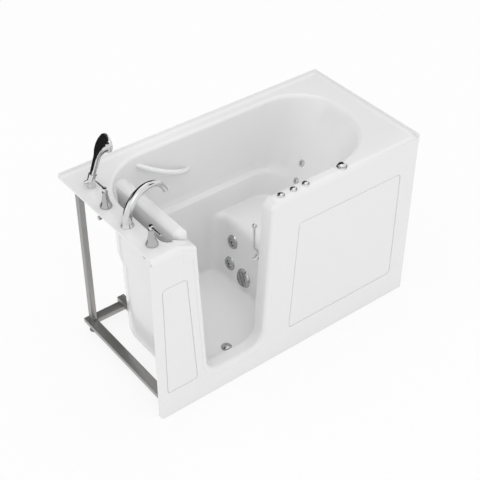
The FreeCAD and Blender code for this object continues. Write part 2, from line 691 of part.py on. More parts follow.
def door_leaf():
    lean = size("door_slope")
    lap = size("leaf_lap")
    top = deck_z + size("leaf_rise")
    low = size("sill_height") - lap
    right = door_right + lap * math.sqrt(1 + lean * lean)
    corners = [(leaf_left, top), (leaf_left, low),
               (right - lean * (deck_z - low), low), (right - lean * (deck_z - top), top)]
    leaf = prism(corners, leaf_outer_y, leaf_inner_y, size("door_corner") + lap, (1, 2))
    faces = [e for e in leaf.Edges if max(v.Y for v in e.Vertexes) - min(v.Y for v in e.Vertexes) < NEAR]
    leaf = leaf.makeFillet(size("leaf_edge_round"), faces)
    cap = Part.makeBox(size("tub_length"), size("leaf_thickness"), top, V(leaf_left, leaf_outer_y, 0))
    far = V(leaf_left, leaf_inner_y, 0)
    brows = [e for e in cap.Edges if all(abs(v.Z - top) < NEAR for v in e.Vertexes)
             and (abs(e.Vertexes[0].Y - e.Vertexes[1].Y) < NEAR or abs(e.Vertexes[0].X - leaf_left) < NEAR)]
    brows += [e for e in cap.Edges if all(math.hypot(v.X - far.x, v.Y - far.y) < NEAR for v in e.Vertexes)]
    leaf = leaf.common(cap.makeFillet(size("leaf_top_round"), brows))
    reach = size("notch_reach")
    cuts = []
    for level in hinge_levels.values():
        corner = V(leaf_left, leaf_outer_y, level - notch / 2)
        cuts.append(Part.makeBox(size("hinge_inset") + reach, size("hinge_inset") + reach, notch, corner))
        cuts.append(hinge_pin(level, size("pin_clearance")))
    return leaf.cut(cuts)


def hinge_pin(level, ease=0.0):
    seat = size("pin_seat")
    low = hinge_line + V(0, 0, level - notch / 2 - seat)
    return Part.makeCylinder(size("pin_radius") + ease, notch + 2 * seat, low)


def door_seal():
    inner = size("seal_inner")
    outer = inner + size("seal_width")
    face = leaf_outer_y - size("seal_thickness")
    drop = lip_clear + size("shoulder_left_drop")
    return doorway(outer, face, leaf_outer_y, drop).cut(doorway(inner, face - past, leaf_outer_y + past))


for label, shape in (("door_leaf", door_leaf()), ("door_seal", door_seal()),
                     ("hinge_pins", Part.makeCompound([hinge_pin(z) for z in hinge_levels.values()]))):
    feature(label, shape).Placement = swing_open


def hinge_bracket(level):
    """A wall plate with an arm and an eye that the hinge pin turns in."""
    high = notch - 2 * size("bracket_trim")
    low = level - high / 2
    plate = size("bracket_thickness")
    left = size("bracket_left")
    arm = size("arm_width")
    back = Part.makeBox(left + size("bracket_right"), plate, high, V(hinge_x - left, wall_y, low))
    web = Part.makeBox(arm, hinge_y - wall_y, high, V(hinge_x - arm / 2, wall_y, low))
    eye = Part.makeCylinder(size("eye_radius"), high, hinge_line + V(0, 0, low))
    hole = Part.makeCylinder(size("pin_radius") + size("pin_clearance"), high, hinge_line + V(0, 0, low))
    return back.fuse([web, eye]).cut(hole).removeSplitter()


feature("hinge_brackets", Part.makeCompound([hinge_bracket(z) for z in hinge_levels.values()]))


# Latch lever beside the doorway
latch_at = V(latch_x, wall_y, size("latch_z"))
latch_hub_y = wall_y + size("latch_reach") + size("run_gap")
latch_post = turned("latch_post", [
    ("0", "0"), ("latch_flange_radius", "0"), ("latch_flange_radius", "latch_flange_thickness"),
    ("latch_post_radius", "2 * latch_flange_thickness"), ("latch_post_radius", "latch_reach"),
    ("0", "latch_reach"),
])
place(latch_post, latch_at, V(0, 1, 0))


def latch_lever():
    """A hub with a cranked rod, a ball knob and a short cross bar."""
    hub_low = V(latch_x, latch_hub_y, size("latch_z"))
    middle = hub_low + V(0, size("latch_hub_length") / 2, 0)
    hub = Part.makeCylinder(size("latch_hub_radius"), size("latch_hub_length"), hub_low, V(0, 1, 0))
    crank = middle + V(0, 0, size("latch_rise"))
    above = crank + V(-size("latch_offset"), 0, size("latch_rise") / 2)
    tip = V(above.x, above.y, middle.z + size("latch_length"))
    arm = rod([middle, crank, above, tip], size("latch_rod_radius"), size("latch_bend"))
    ball = Part.makeSphere(size("latch_ball_radius"), tip)
    reach = size("latch_hub_radius") + size("latch_bar_length")
    bar = Part.makeCylinder(size("latch_rod_radius"), reach, middle, V(-1, 0, 0))
    return hub.fuse([arm, ball, bar])


feature("latch_lever", latch_lever())


# Deck taps: two lever valves and an arched spout
tap_helpers = []
for name, at in tap_rows.items():
    bell = turned(name + "_bell", [
        ("0", "0 - tap_shank_length"), ("tap_shank_radius", "0 - tap_shank_length"),
        ("tap_shank_radius", "0 - deck_thickness - tap_nut_height"),
        ("tap_nut_radius", "0 - deck_thickness - tap_nut_height"), ("tap_nut_radius", "0 - deck_thickness"),
        ("tap_shank_radius", "0 - deck_thickness"), ("tap_shank_radius", "0"), ("bell_radius", "0"),
        ("bell_radius", "bell_foot"), ("bell_shoulder", "bell_flare"), ("bell_waist", "2 * bell_flare"),
        ("bell_waist", "bell_height"), ("0", "bell_height"),
    ])
    place(bell, at)
    tee_at = at - V(0, 0, size("tap_shank_length") - size("tap_shank_radius"))
    tee = place(cylinder(name + "_tee", "tap_shank_radius", "tap_tee_reach"), tee_at, V(-1, 0, 0))
    stub_at = tee_at - V(size("tap_tee_reach"), 0, 0)
    stub = place(cylinder(name + "_stub", "inlet_radius", "inlet_length"), stub_at, V(-1, 0, 0))
    valve = doc.addObject("Part::MultiFuse", name + "_valve")
    valve.Shapes = [bell, tee, stub]
    tap_helpers += [bell, tee, stub]


def lever(at, away):
    """A round hub with a tapering lever that points away from the spout."""
    low = at + V(0, 0, size("bell_height") + size("run_gap"))
    hub = Part.makeCylinder(size("lever_hub_radius"), size("lever_hub_height"), low)
    crown = low + V(0, 0, size("lever_hub_height") - size("lever_drop"))
    fall = V(0, away * size("lever_length"), 0)
    arm = Part.makeCone(size("lever_root"), size("lever_tip"), size("lever_length"), crown, fall)
    knob = Part.makeSphere(size("lever_tip"), crown + fall)
    return hub.fuse([arm, knob])


feature("hot_lever", lever(tap_rows["hot"], -1))
feature("cold_lever", lever(tap_rows["cold"], 1))


def spout():
    foot = Part.makeCone(size("spout_foot_radius"), size("spout_root"), size("spout_foot_height"), spout_at)
    rise = spout_at + V(0, 0, size("spout_foot_height"))
    arc = size("spout_arc")
    centre = rise + V(arc, 0, 0)
    turn = math.radians(90 + size("spout_sweep"))
    spots = [centre + V(-arc * math.cos(a), 0, arc * math.sin(a)) for a in (turn / 2, turn)]
    path = Part.Wire([Part.Arc(rise, spots[0], spots[1]).toShape()])
    root = Part.Wire(Part.makeCircle(size("spout_root"), rise, V(0, 0, 1)))
    aim = V(math.sin(turn), 0, math.cos(turn))
    tip = Part.Wire(Part.makeCircle(size("spout_tip"), spots[1], aim))
    neck = path.makePipeShell([root, tip], True, False)
    neck.rotate(spout_at, V(0, 0, 1), size("spout_yaw"))
    down = V(0, 0, -size("tap_shank_length"))
    shank = Part.makeCylinder(size("tap_shank_radius"), size("tap_shank_length"), spout_at, down)
    nut_at = spout_at - V(0, 0, size("deck_thickness"))
    nut = Part.makeCylinder(size("tap_nut_radius"), size("tap_nut_height"), nut_at, down)
    return foot.fuse([neck, shank, nut])


feature("spout", spout())


# Hand shower in its deck holder
lean = math.radians(size("shower_lean"))
shower_axis = V(math.sin(lean), 0, math.cos(lean))
cup_low = shower_at + V(0, 0, size("holder_height"))


def shower_holder():
    base = Part.makeCone(size("holder_radius"), size("holder_waist"), size("holder_height"), shower_at)
    cup = Part.makeCylinder(size("cup_radius"), size("cup_height"), cup_low, shower_axis)
    elbow = Part.makeCylinder(size("elbow_radius"), size("elbow_length"), cup_low, V(-1, 0, 0))
    knuckle = Part.makeSphere(size("cup_radius"), cup_low)
    shank = Part.makeCylinder(size("tap_shank_radius"), size("tap_shank_length"), shower_at, V(0, 0, -1))
    mouth = cup_low + shower_axis * (size("cup_height") - size("cup_depth"))
    hollow = Part.makeCylinder(size("cup_bore"), 2 * size("cup_depth"), mouth, shower_axis)
    return base.fuse([cup, elbow, knuckle, shank]).cut(hollow)


def tilted_ring(radius, middle, turn):
    """A circle that faces along +Z, turned about +Y by an angle and moved to its place."""
    made = Part.Wire(Part.makeCircle(radius))
    made.Placement = FreeCAD.Placement(middle, FreeCAD.Rotation(V(0, 1, 0), math.degrees(turn)))
    return made


def hand_shower():
    """A grip that swells steadily and turns over into a round spray head."""
    start = cup_low + shower_axis * (size("cup_height") - size("cup_depth") + size("run_gap"))
    across = V(shower_axis.z, 0, -shower_axis.x)
    neck = start + shower_axis * size("grip_length")
    sections = [tilted_ring(size("grip_low"), start, lean), tilted_ring(size("grip_high"), neck, lean)]
    steps = int(size("head_steps"))
    for step in range(1, steps + 1):
        turn = math.radians(size("head_turn")) * step / steps
        middle = neck + shower_axis * (size("head_rise") * math.sin(turn))
        middle += across * (size("head_throw") * (1 - math.cos(turn)))
        radius = between(size("grip_high"), size("head_radius"), step / steps)
        sections.append(tilted_ring(radius, middle, lean + turn))
    front = middle + V(math.sin(lean + turn), 0, math.cos(lean + turn)) * size("head_depth")
    sections.append(tilted_ring(size("head_radius"), front, lean + turn))
    handset = Part.makeLoft(sections, True, True)
    rim = [edge for edge in handset.Edges if edge.Closed and (edge.CenterOfMass - front).Length < NEAR]
    return handset.makeFillet(size("head_edge"), rim)


feature("shower_holder", shower_holder())
feature("hand_shower", hand_shower())


# Overflow with the knob that works the drain
overflow = turned("overflow_plate", [
    ("0", "0 - overflow_back"), ("overflow_stem", "0 - overflow_back"), ("overflow_stem", "0"),
    ("overflow_radius", "0"), ("overflow_radius", "overflow_depth - knob_dome"),
    ("overflow_radius - knob_dome", "overflow_depth"), ("0", "overflow_depth"),
])
place(overflow, overflow_at + end_normal * size("overflow_washer"), end_normal)
knob = turned("drain_knob", [
    ("0", "0"), ("knob_radius - knob_dome", "0"), ("knob_radius", "knob_dome"),
    ("knob_radius", "knob_depth - knob_dome"), ("knob_radius - knob_dome", "knob_depth"), ("0", "knob_depth"),
])
knob_stand = size("overflow_washer") + size("overflow_depth") + size("run_gap")
place(knob, overflow_at + end_normal * knob_stand, end_normal)


# Floor drain: flanged waste with its tail below the floor, and the lifting stopper
def drain_body():
    down = V(0, 0, -1)
    lip = Part.makeCylinder(size("drain_flange"), size("drain_lip"), drain_at)
    throat = Part.makeCylinder(size("drain_throat"), size("throat_length"), drain_at, down)
    pipe = Part.makeCylinder(size("tailpiece_radius"), size("tailpiece_length"), drain_at, down)
    low = drain_at - V(0, 0, size("tailpiece_length"))
    hollow = Part.makeCylinder(size("drain_bore"), 2 * size("tailpiece_length"), low)
    return lip.fuse([throat, pipe]).cut(hollow).removeSplitter()


feature("drain_body", drain_body())
stopper = turned("drain_stopper", [
    ("0", "0 - spigot_length"), ("spigot_radius", "0 - spigot_length"), ("spigot_radius", "0"),
    ("stopper_radius", "0"), ("stopper_radius", "stopper_height / 2"), ("0", "stopper_height"),
])
place(stopper, drain_at + V(0, 0, size("drain_lip") + size("stopper_lift")))


# Deck buttons and the air control
bezels = []
for name, at in button_spots.items():
    bezel = turned("bezel_" + name, [
        ("button_stem", "0 - button_stem_length"), ("button_stem", "0"), ("bezel_radius", "0"),
        ("bezel_radius", "bezel_height / 2"), ("bezel_radius - bezel_bevel", "bezel_height"),
        ("button_radius + button_clearance", "bezel_height"),
        ("button_radius + button_clearance", "bezel_floor"),
        ("0", "bezel_floor"), ("0", "0 - button_stem_length"),
    ])
    bezels.append(place(bezel, at))
    cap = turned("button_" + name, [
        ("0", "0"), ("button_radius", "0"), ("button_radius", "button_height - button_dome"),
        ("button_radius - button_dome", "button_height"), ("0", "button_height"),
    ])
    place(cap, at + V(0, 0, size("bezel_floor") + size("button_travel") + size("button_floor_gap")))

air_base = turned("air_control_base", [
    ("0", "0 - air_stem_length"), ("air_stem", "0 - air_stem_length"), ("air_stem", "0"),
    ("air_base_radius", "0"), ("air_base_radius", "air_base_height - air_base_bevel"),
    ("air_base_radius - air_base_bevel", "air_base_height"), ("0", "air_base_height"),
])
place(air_base, air_at)


def air_knob():
    low = air_at + V(0, 0, size("air_base_height") + size("run_gap"))
    high = size("air_knob_height")
    body = Part.makeCone(size("air_knob_radius"), size("air_knob_top"), high, low)
    flutes = []
    for step in range(int(size("air_flutes"))):
        turn = 2 * math.pi * step / size("air_flutes")
        side = V(math.cos(turn), math.sin(turn), 0) * size("air_knob_radius")
        flutes.append(Part.makeCylinder(size("air_flute_radius"), high, low + side))
    return body.cut(flutes)


feature("air_knob", air_knob())


# Jets: chrome ring and body through the wall, with a turning nozzle
def jet_body(at, normal, scale):
    ring_radius = size("jet_ring_radius") * scale
    flange = Part.makeCone(ring_radius, ring_radius - size("jet_ring_lip") * scale,
                           size("jet_ring_depth") * scale, at, normal)
    body = Part.makeCylinder(size("jet_body_radius") * scale, size("jet_body_length") * scale, at, normal * -1)
    floor = at + normal * ((size("jet_ring_depth") - size("jet_bore_depth")) * scale)
    hollow = Part.makeCylinder(size("jet_bore") * scale, size("jet_bore_depth") * scale, floor, normal)
    return flange.fuse(body).cut(hollow)


def jet_nozzle(at, normal, scale):
    floor = at + normal * ((size("jet_ring_depth") - size("jet_bore_depth")) * scale + size("run_gap"))
    deep = size("jet_nozzle_depth") * scale
    radius = size("jet_nozzle_radius") * scale
    barrel = Part.makeCylinder(radius, deep, floor, normal)
    crown = size("jet_nozzle_crown") * scale
    dome = Part.makeCone(radius, crown, size("jet_nozzle_dome") * scale, floor + normal * deep, normal)
    reach = (size("jet_nozzle_dome") + size("jet_mouth_depth")) * scale
    start = floor + normal * (deep + size("jet_nozzle_dome") * scale - reach)
    mouth = Part.makeCylinder(size("jet_mouth") * scale, reach, start, normal)
    return barrel.fuse(dome).cut(mouth)


for name, at in riser_jets.items():
    feature("riser_jet_" + name, jet_body(at, riser_normal, 1.0))
    feature("riser_nozzle_" + name, jet_nozzle(at, riser_normal, 1.0))
small_jet = size("back_jet_scale")
feature("back_jets", Part.makeCompound([jet_body(at, rest_normal, small_jet) for at in back_jets.values()]))
for name, at in back_jets.items():
    feature("back_nozzle_" + name, jet_nozzle(at, rest_normal, small_jet))


# Suction cover with its slots, and the fitting behind it
def suction_cover():
    radius = size("suction_radius")
    deep = size("suction_depth")
    disc = Part.makeCone(radius, radius - size("suction_crown"), deep, V(0, 0, 0))
    slots = []
    first = -(size("suction_slots") - 1) / 2
    for step in range(int(size("suction_slots"))):
        across = (first + step) * size("suction_pitch")
        tall = 2 * math.sqrt((radius - size("suction_margin")) ** 2 - across ** 2)
        wide = size("suction_slot")
        slots.append(Part.makeBox(tall, wide, deep / 2, V(-tall / 2, across - wide / 2, deep / 2)))
    return disc.cut(slots)


place(feature("suction_cover", suction_cover()), suction_at, riser_normal)
suction_body = cylinder("suction_body", "suction_body_radius", "suction_body_length")
place(suction_body, suction_at, riser_normal * -1)


# Grab bar on the back wall
def back_wall(z):
    share = min((deck_z - z) / (deck_z - size("ledge_height")), 1.0)
    return basin_back - size("upper_back_draft") * share


def grab_bar():
    ends = []
    for side in ("left", "right"):
        z = deck_z - size("grab_%s_drop" % side)
        ends.append(V(left_end + size("grab_%s_inset" % side), back_wall(z), z))
    root = V(0, size("grab_root"), 0)
    middle = (ends[0] + ends[1]) * 0.5 - V(0, size("grab_standoff"), 0)
    bow = Part.Arc(ends[0] + root, middle, ends[1] + root)
    start = bow.tangent(bow.FirstParameter)[0]
    section = Part.Wire(Part.makeCircle(size("grab_radius"), ends[0] + root, start))
    bar = Part.Wire([bow.toShape()]).makePipeShell([section], True, False)
    return bar.common(bowl(0.0))


feature("grab_bar", grab_bar())


# Pump under the seat, with its suction and pressure pipes
pump_at = V(nose_x + size("pump_nose_gap"), suction_y, size("suction_z"))
along = V(1, 0, 0)
motor_at = pump_at + along * size("volute_depth")


def pump_volute():
    drum = Part.makeCylinder(size("volute_radius"), size("volute_depth"), pump_at, along)
    rims = [edge for edge in drum.Edges if edge.Closed]
    drum = drum.makeFillet(size("volute_round"), rims)
    neck = Part.makeCylinder(size("volute_neck"), size("volute_neck_length"), pump_at, along * -1)
    return drum.fuse(neck)


def pump_motor():
    radius = size("motor_radius")
    barrel = Part.makeCylinder(radius, size("motor_length"), motor_at, along)
    grooves = []
    groove_start = motor_at + along * size("motor_cap")
    groove_length = size("motor_length") - 2 * size("motor_cap")
    for step in range(int(size("motor_fins"))):
        turn = 360 * step / size("motor_fins")
        wide = size("motor_fin_width")
        groove = Part.makeBox(groove_length, wide, 2 * size("motor_fin_depth"),
                              groove_start + V(0, -wide / 2, radius - size("motor_fin_depth")))
        groove.rotate(motor_at, along, turn)
        grooves.append(groove)
    return barrel.cut(grooves)


def pump_foot():
    """A moulded cradle that carries the motor on its bearer."""
    wide = size("pump_foot_width")
    low = V(bearers["pump"] - size("pump_foot_length") / 2, suction_y - wide / 2, floor_under)
    block = Part.makeBox(size("pump_foot_length"), wide, size("suction_z") - floor_under, low)
    seat = Part.makeCylinder(size("motor_radius"), size("motor_length"), motor_at, along)
    return block.cut(seat)


feature("pump_volute", pump_volute())
feature("pump_motor", pump_motor())
feature("pump_foot", pump_foot())

suction_end = suction_at - riser_normal * size("suction_body_length")


def suction_pipe():
    start = V(suction_end.x - size("pipe_radius"), suction_end.y, suction_end.z)
    face = pump_at - along * size("volute_neck_length")
    pipe = Part.makeCylinder(size("pipe_radius"), face.x - start.x, V(start.x, pump_at.y, pump_at.z), along)
    behind = riser_normal * -1
    fitting = Part.makeCylinder(size("suction_body_radius"), size("suction_body_length"), suction_at, behind)
    return pipe.cut(fitting)


def jet_pipes():
    """One glued run of pipe from the pump to the riser and backrest jets."""
    branch = size("branch_radius")
    x, y = nose_x + size("manifold_nose_gap"), jet_y
    volute_x = pump_at.x + size("volute_depth") / 2
    runs = [rod([V(volute_x, suction_y, size("suction_z")), V(volute_x, y, size("suction_z"))], branch, branch)]
    runs.append(rod([V(volute_x, y, size("suction_z")), V(x, y, size("suction_z"))], branch, branch))
    riser_height = size("jet_upper_z") - size("suction_z")
    runs.append(Part.makeCylinder(branch, riser_height, V(x, y, size("suction_z"))))
    sunk = size("jet_body_length") - size("jet_pipe_sink")
    for at in riser_jets.values():
        start = at - riser_normal * sunk
        runs.append(Part.makeCylinder(branch, x - start.x, start, along))
        runs.append(Part.makeSphere(branch, V(x, y, start.z)))
    back_x = right_end - size("back_pipe_inset")
    high = back_jets["upper"].z
    route = [V(volute_x, y, size("suction_z")), V(back_x, y, size("suction_z")), V(back_x, y, high)]
    runs.append(rod(route, branch, size("pipe_bend")))
    for at in back_jets.values():
        start = at - rest_normal * (sunk * small_jet)
        reach = V(back_x, y, at.z) - start
        runs.append(Part.makeCylinder(size("back_branch_radius"), reach.Length, start, reach))
    for spot in (V(volute_x, y, size("suction_z")), V(x, y, size("suction_z")), V(back_x, y, high)):
        runs.append(Part.makeSphere(branch, spot))
    merged = runs[0].fuse(runs[1:])
    clear = [jet_solid(at, riser_normal, 1.0) for at in riser_jets.values()]
    clear += [jet_solid(at, rest_normal, small_jet) for at in back_jets.values()]
    clear.append(pump_volute())
    return merged.cut(clear)


def jet_solid(at, normal, scale):
    """The space that a jet's body fills behind the wall."""
    return Part.makeCylinder(size("jet_body_radius") * scale, size("jet_body_length") * scale, at, normal * -1)


feature("suction_pipe", suction_pipe())
feature("jet_pipes", jet_pipes())

doc.recompute()

# Every object must be sound before its piece is written
bezel_group = feature("button_bezels", Part.makeCompound([bezel.Shape for bezel in bezels]))
doc.recompute()
hidden = {helper.Name for helper in bezels + tap_helpers}
pieces = []
for made in doc.Objects:
    if "Invalid" in made.State or "Error" in made.State:
        raise RuntimeError("failed object: " + made.Name)
    if made.TypeId in ("Part::Feature", "Part::MultiFuse", "PartDesign::Body", "Part::Cylinder"):
        if made.Name not in hidden:
            pieces.append(made)
os.makedirs("parts", exist_ok=True)
for made in pieces:
    if made.Shape.isNull() or not made.Shape.isValid():
        raise RuntimeError("unsound shape: " + made.Label)
for made in pieces:
    made.Shape.exportStep(os.path.join("parts", made.Label + ".step"))
    solids = made.Shape.Solids
    print("%-22s solids %d volume %.0f" % (made.Label, len(solids), sum(solid.Volume for solid in solids)))
print("pieces", len(pieces))
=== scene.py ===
"""Looks of a walk-in jetted tub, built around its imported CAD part."""

import json
import logging
import math
from abc import ABC, abstractmethod
from dataclasses import dataclass, replace
from enum import Enum
from typing import Any, Dict, List, Optional, Sequence, Tuple, Union

import bmesh
import bpy
from bmesh.types import BMesh, BMVert
from bpy.types import Material, Mesh, Node, NodeSocket, NodeTree, Object
from mathutils import Matrix, Vector


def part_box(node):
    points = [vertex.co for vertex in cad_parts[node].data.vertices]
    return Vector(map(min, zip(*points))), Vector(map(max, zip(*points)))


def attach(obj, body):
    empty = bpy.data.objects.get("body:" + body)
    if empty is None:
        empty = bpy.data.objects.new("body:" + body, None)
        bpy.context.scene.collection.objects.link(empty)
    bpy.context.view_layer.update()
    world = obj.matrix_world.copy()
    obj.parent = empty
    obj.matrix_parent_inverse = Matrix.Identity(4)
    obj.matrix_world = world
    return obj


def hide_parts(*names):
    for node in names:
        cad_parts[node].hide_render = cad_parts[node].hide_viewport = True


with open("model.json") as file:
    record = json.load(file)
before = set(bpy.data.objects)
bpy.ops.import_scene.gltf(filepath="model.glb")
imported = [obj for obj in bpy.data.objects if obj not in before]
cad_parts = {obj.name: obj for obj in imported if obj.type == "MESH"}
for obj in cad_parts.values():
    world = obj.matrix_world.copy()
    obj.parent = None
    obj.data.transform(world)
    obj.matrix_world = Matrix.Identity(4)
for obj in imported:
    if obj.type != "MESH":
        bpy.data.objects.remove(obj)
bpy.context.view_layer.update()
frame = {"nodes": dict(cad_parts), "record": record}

LOG = logging.getLogger("walk_in_tub")
Colour = Tuple[float, float, float]
Place = Tuple[float, float, float]
Pair = Tuple[float, float]
Port = Union[str, int]
ROOT_BODY = "tub"
MERGE = 1e-5
SMOOTH_ANGLE = 40.0
CURVE_STEPS = 8
QUARTER = tuple(math.radians(a) for a in range(0, 91, 18))
DOME_ROWS = 6
PLATE_THICKNESS = 0.0004
PLATE_SIDES = 32
STUD_SIDES = 10
STUD_TAPER = 0.7
WHITE = (1.0, 1.0, 1.0, 1.0)


def fill(node: Node, values: Dict[Port, Any]) -> None:
    """Set some of a node's inputs.

    Args:
        node: The node.
        values: The values by the inputs' names or numbers.
    """
    for port, value in values.items():
        node.inputs[port].default_value = value


def wire(tree: NodeTree, *links: Tuple[Node, Port, Node, Port]) -> None:
    """Link a tree's nodes.

    Args:
        tree: The node tree.
        links: For each link a node and its output, and the next node and its input.
    """
    for start, output, end, port in links:
        tree.links.new(start.outputs[output], end.inputs[port])


class Slot(str, Enum):
    """The record's material slots."""

    GELCOAT = "gelcoat"
    FRAME_STEEL = "frame_steel"
    FITTING_STEEL = "fitting_steel"
    CHROME = "chrome"
    SEAL_RUBBER = "seal_rubber"
    PIPE_PLASTIC = "pipe_plastic"
    PUMP_PAINT = "pump_paint"


class Grain(Enum):
    """How a finish's fine variation lies on the piece."""

    EVEN = (1.0, 1.0, 1.0)
    DRAWN = (0.08, 0.08, 1.0)


@dataclass(frozen=True)
class Finish:
    """A surface finish with a fine procedural variation of its gloss."""

    slot: Slot
    colour: Colour
    roughness: float
    metallic: float = 0.0
    coat: float = 0.0
    coat_roughness: float = 0.05
    gloss_spread: float = 0.04
    least_roughness: float = 0.02
    grain: Grain = Grain.EVEN
    grain_scale: float = 40.0
    grain_detail: float = 4.0
    relief: float = 0.0
    relief_strength: float = 0.3
    label: str = "finish"

    def material(self) -> Material:
        """Return this finish's material, made on first use.

        Returns:
            The material, shared by every piece with this finish.
        """
        name = "%s_%s" % (self.slot.value, self.label)
        found = bpy.data.materials.get(name)
        if found is not None:
            return found
        made = bpy.data.materials.new(name)
        made.use_nodes = True
        tree = made.node_tree
        shader = tree.nodes["Principled BSDF"]
        fill(shader, {"Base Color": (*self.colour, 1.0), "Metallic": self.metallic,
                      "Coat Weight": self.coat, "Coat Roughness": self.coat_roughness})
        self._vary(tree, shader)
        return made

    def _vary(self, tree: NodeTree, shader: Node) -> None:
        """Spread the gloss, and where there is relief the height, with noise.

        Args:
            tree: The material's node tree.
            shader: Its surface shader.
        """
        place = tree.nodes.new("ShaderNodeTexCoord")
        stretch = tree.nodes.new("ShaderNodeMapping")
        noise = tree.nodes.new("ShaderNodeTexNoise")
        spread = tree.nodes.new("ShaderNodeMapRange")
        fill(stretch, {"Scale": self.grain.value})
        fill(noise, {"Scale": self.grain_scale, "Detail": self.grain_detail})
        fill(spread, {"To Min": max(self.least_roughness, self.roughness - self.gloss_spread),
                      "To Max": self.roughness + self.gloss_spread})
        wire(tree, (place, "Object", stretch, "Vector"), (stretch, "Vector", noise, "Vector"),
             (noise, "Fac", spread, "Value"), (spread, "Result", shader, "Roughness"))
        if self.relief > 0.0:
            bump = tree.nodes.new("ShaderNodeBump")
            fill(bump, {"Strength": self.relief_strength, "Distance": self.relief})
            wire(tree, (noise, "Fac", bump, "Height"), (bump, "Normal", shader, "Normal"))


GELCOAT = Finish(Slot.GELCOAT, (0.87, 0.87, 0.87), 0.22, coat=0.25, gloss_spread=0.02,
                 grain_scale=6.0)
FRAME_STEEL = Finish(Slot.FRAME_STEEL, (0.40, 0.395, 0.39), 0.4, metallic=0.75, gloss_spread=0.1,
                     grain=Grain.DRAWN, grain_scale=260.0)
FITTING_STEEL = Finish(Slot.FITTING_STEEL, (0.5, 0.5, 0.51), 0.34, metallic=0.9, grain_scale=120.0)
CHROME = Finish(Slot.CHROME, (0.66, 0.66, 0.67), 0.06, metallic=1.0, gloss_spread=0.02,
                grain_scale=18.0)
# A darker, rougher copy of chrome: its darker colour is painted shade and painted dim reflection
# for the valves, the drain, the riser jets and the suction cover.
SATIN_PAINTED_SHADE_CHROME = replace(CHROME, colour=(0.46, 0.46, 0.465), roughness=0.15, label="satin_painted_shade")
SEAL_RUBBER = Finish(Slot.SEAL_RUBBER, (0.03, 0.03, 0.03), 0.7, grain_scale=200.0, relief=0.0002)
PIPE_PLASTIC = Finish(Slot.PIPE_PLASTIC, (0.72, 0.72, 0.7), 0.42, grain_scale=30.0)
PUMP_PAINT = Finish(Slot.PUMP_PAINT, (0.03, 0.032, 0.036), 0.4, grain_scale=90.0, relief=0.0002)
FINISHES: Dict[str, Finish] = {
    made.slot.value: made
    for made in (GELCOAT, FRAME_STEEL, FITTING_STEEL, CHROME, SEAL_RUBBER, PIPE_PLASTIC, PUMP_PAINT)
}
NODE_SLOT: Dict[str, str] = {
    row["node"]: row["material_slot"] for row in frame["record"]["subparts"]
}
BEHAVIOUR: Dict[str, Any] = frame["record"]["behaviour"]
NODE_BODY: Dict[str, str] = {
    node: body for body, nodes in BEHAVIOUR["bodies"].items() for node in nodes
}


def settle(obj: Object) -> None:
    """Turn an object's live modifiers into a plain mesh.

    Args:
        obj: The object with its modifiers.
    """
    seen = obj.evaluated_get(bpy.context.evaluated_depsgraph_get())
    mesh = bpy.data.meshes.new_from_object(seen)
    obj.modifiers.clear()
    obj.data = mesh


def new_object(name: str, mesh: Mesh) -> Object:
    """Put a mesh in the scene at the origin.

    Args:
        name: The object's name.
        mesh: Its mesh.

    Returns:
        The new object.
    """
    obj = bpy.data.objects.new(name, mesh)
    bpy.context.scene.collection.objects.link(obj)
    return obj


def baked(work: BMesh, name: str) -> Object:
    """Put a working mesh in the scene.

    Args:
        work: The working mesh, which is freed.
        name: The new object's name.

    Returns:
        The new object.
    """
    mesh = bpy.data.meshes.new(name)
    work.to_mesh(mesh)
    work.free()
    return new_object(name, mesh)


def band(work: BMesh, row: Sequence[BMVert], other: Sequence[BMVert]) -> None:
    """Join two closed rows of vertices with a band of faces.

    Args:
        work: The working mesh.
        row: The first row.
        other: The second row, with as many vertices.
    """
    for n in range(len(row)):
        after = (n + 1) % len(row)
        work.faces.new((row[n], row[after], other[after], other[n]))


def block(name: str, low: Vector, high: Vector) -> Object:
    """Put a plain box in the scene.

    Args:
        name: The piece's name.
        low: Its lower corner.
        high: Its upper corner.

    Returns:
        The box.
    """
    work = bmesh.new()
    bmesh.ops.create_cube(work, size=1.0)
    bmesh.ops.scale(work, vec=high - low, verts=work.verts)
    bmesh.ops.translate(work, vec=(low + high) / 2, verts=work.verts)
    return baked(work, name)


def disc(name: str, centre: Vector, facing: Vector, radius: float) -> Object:
    """Put a thin round plate in the scene.

    Args:
        name: The piece's name.
        centre: Its middle.
        facing: The way that it faces.
        radius: Its radius.

    Returns:
        The plate.
    """
    work = bmesh.new()
    bmesh.ops.create_cone(work, cap_ends=True, segments=PLATE_SIDES, radius1=radius,
                          radius2=radius, depth=PLATE_THICKNESS)
    turn = facing.to_track_quat("Z", "Y").to_matrix().to_4x4()
    bmesh.ops.transform(work, matrix=Matrix.Translation(centre) @ turn, verts=work.verts)
    return baked(work, name)


def prism(name: str, outline: Sequence[Pair], front: float, back: float) -> Object:
    """Put a closed prism in the scene.

    Args:
        name: The piece's name.
        outline: Its section's points along X and Z.
        front: Where it starts along Y.
        back: Where it ends along Y.

    Returns:
        The prism.
    """
    work = bmesh.new()
    near = [work.verts.new((x, front, z)) for x, z in outline]
    far = [work.verts.new((x, back, z)) for x, z in outline]
    work.faces.new(near)
    work.faces.new(far[::-1])
    band(work, far, near)
    bmesh.ops.recalc_face_normals(work, faces=work.faces)
    return baked(work, name)


def eased(start: Vector, corner: Vector, end: Vector) -> List[Vector]:
    """Round a corner between two points.

    Args:
        start: Where the curve starts.
        corner: The corner that it leaves out.
        end: Where it ends.

    Returns:
        The curve's points, with both ends.
    """
    shares = [n / CURVE_STEPS for n in range(CURVE_STEPS + 1)]
    return [start.lerp(corner, s).lerp(corner.lerp(end, s), s) for s in shares]


def carve(obj: Object, space: Object) -> None:
    """Cut a space out of an object's mesh.

    Args:
        obj: The object to cut.
        space: The closed mesh that is taken out of it.
    """
    cut = obj.modifiers.new("carve", "BOOLEAN")
    cut.object = space
    cut.operation = "DIFFERENCE"
    cut.solver = "EXACT"
    settle(obj)


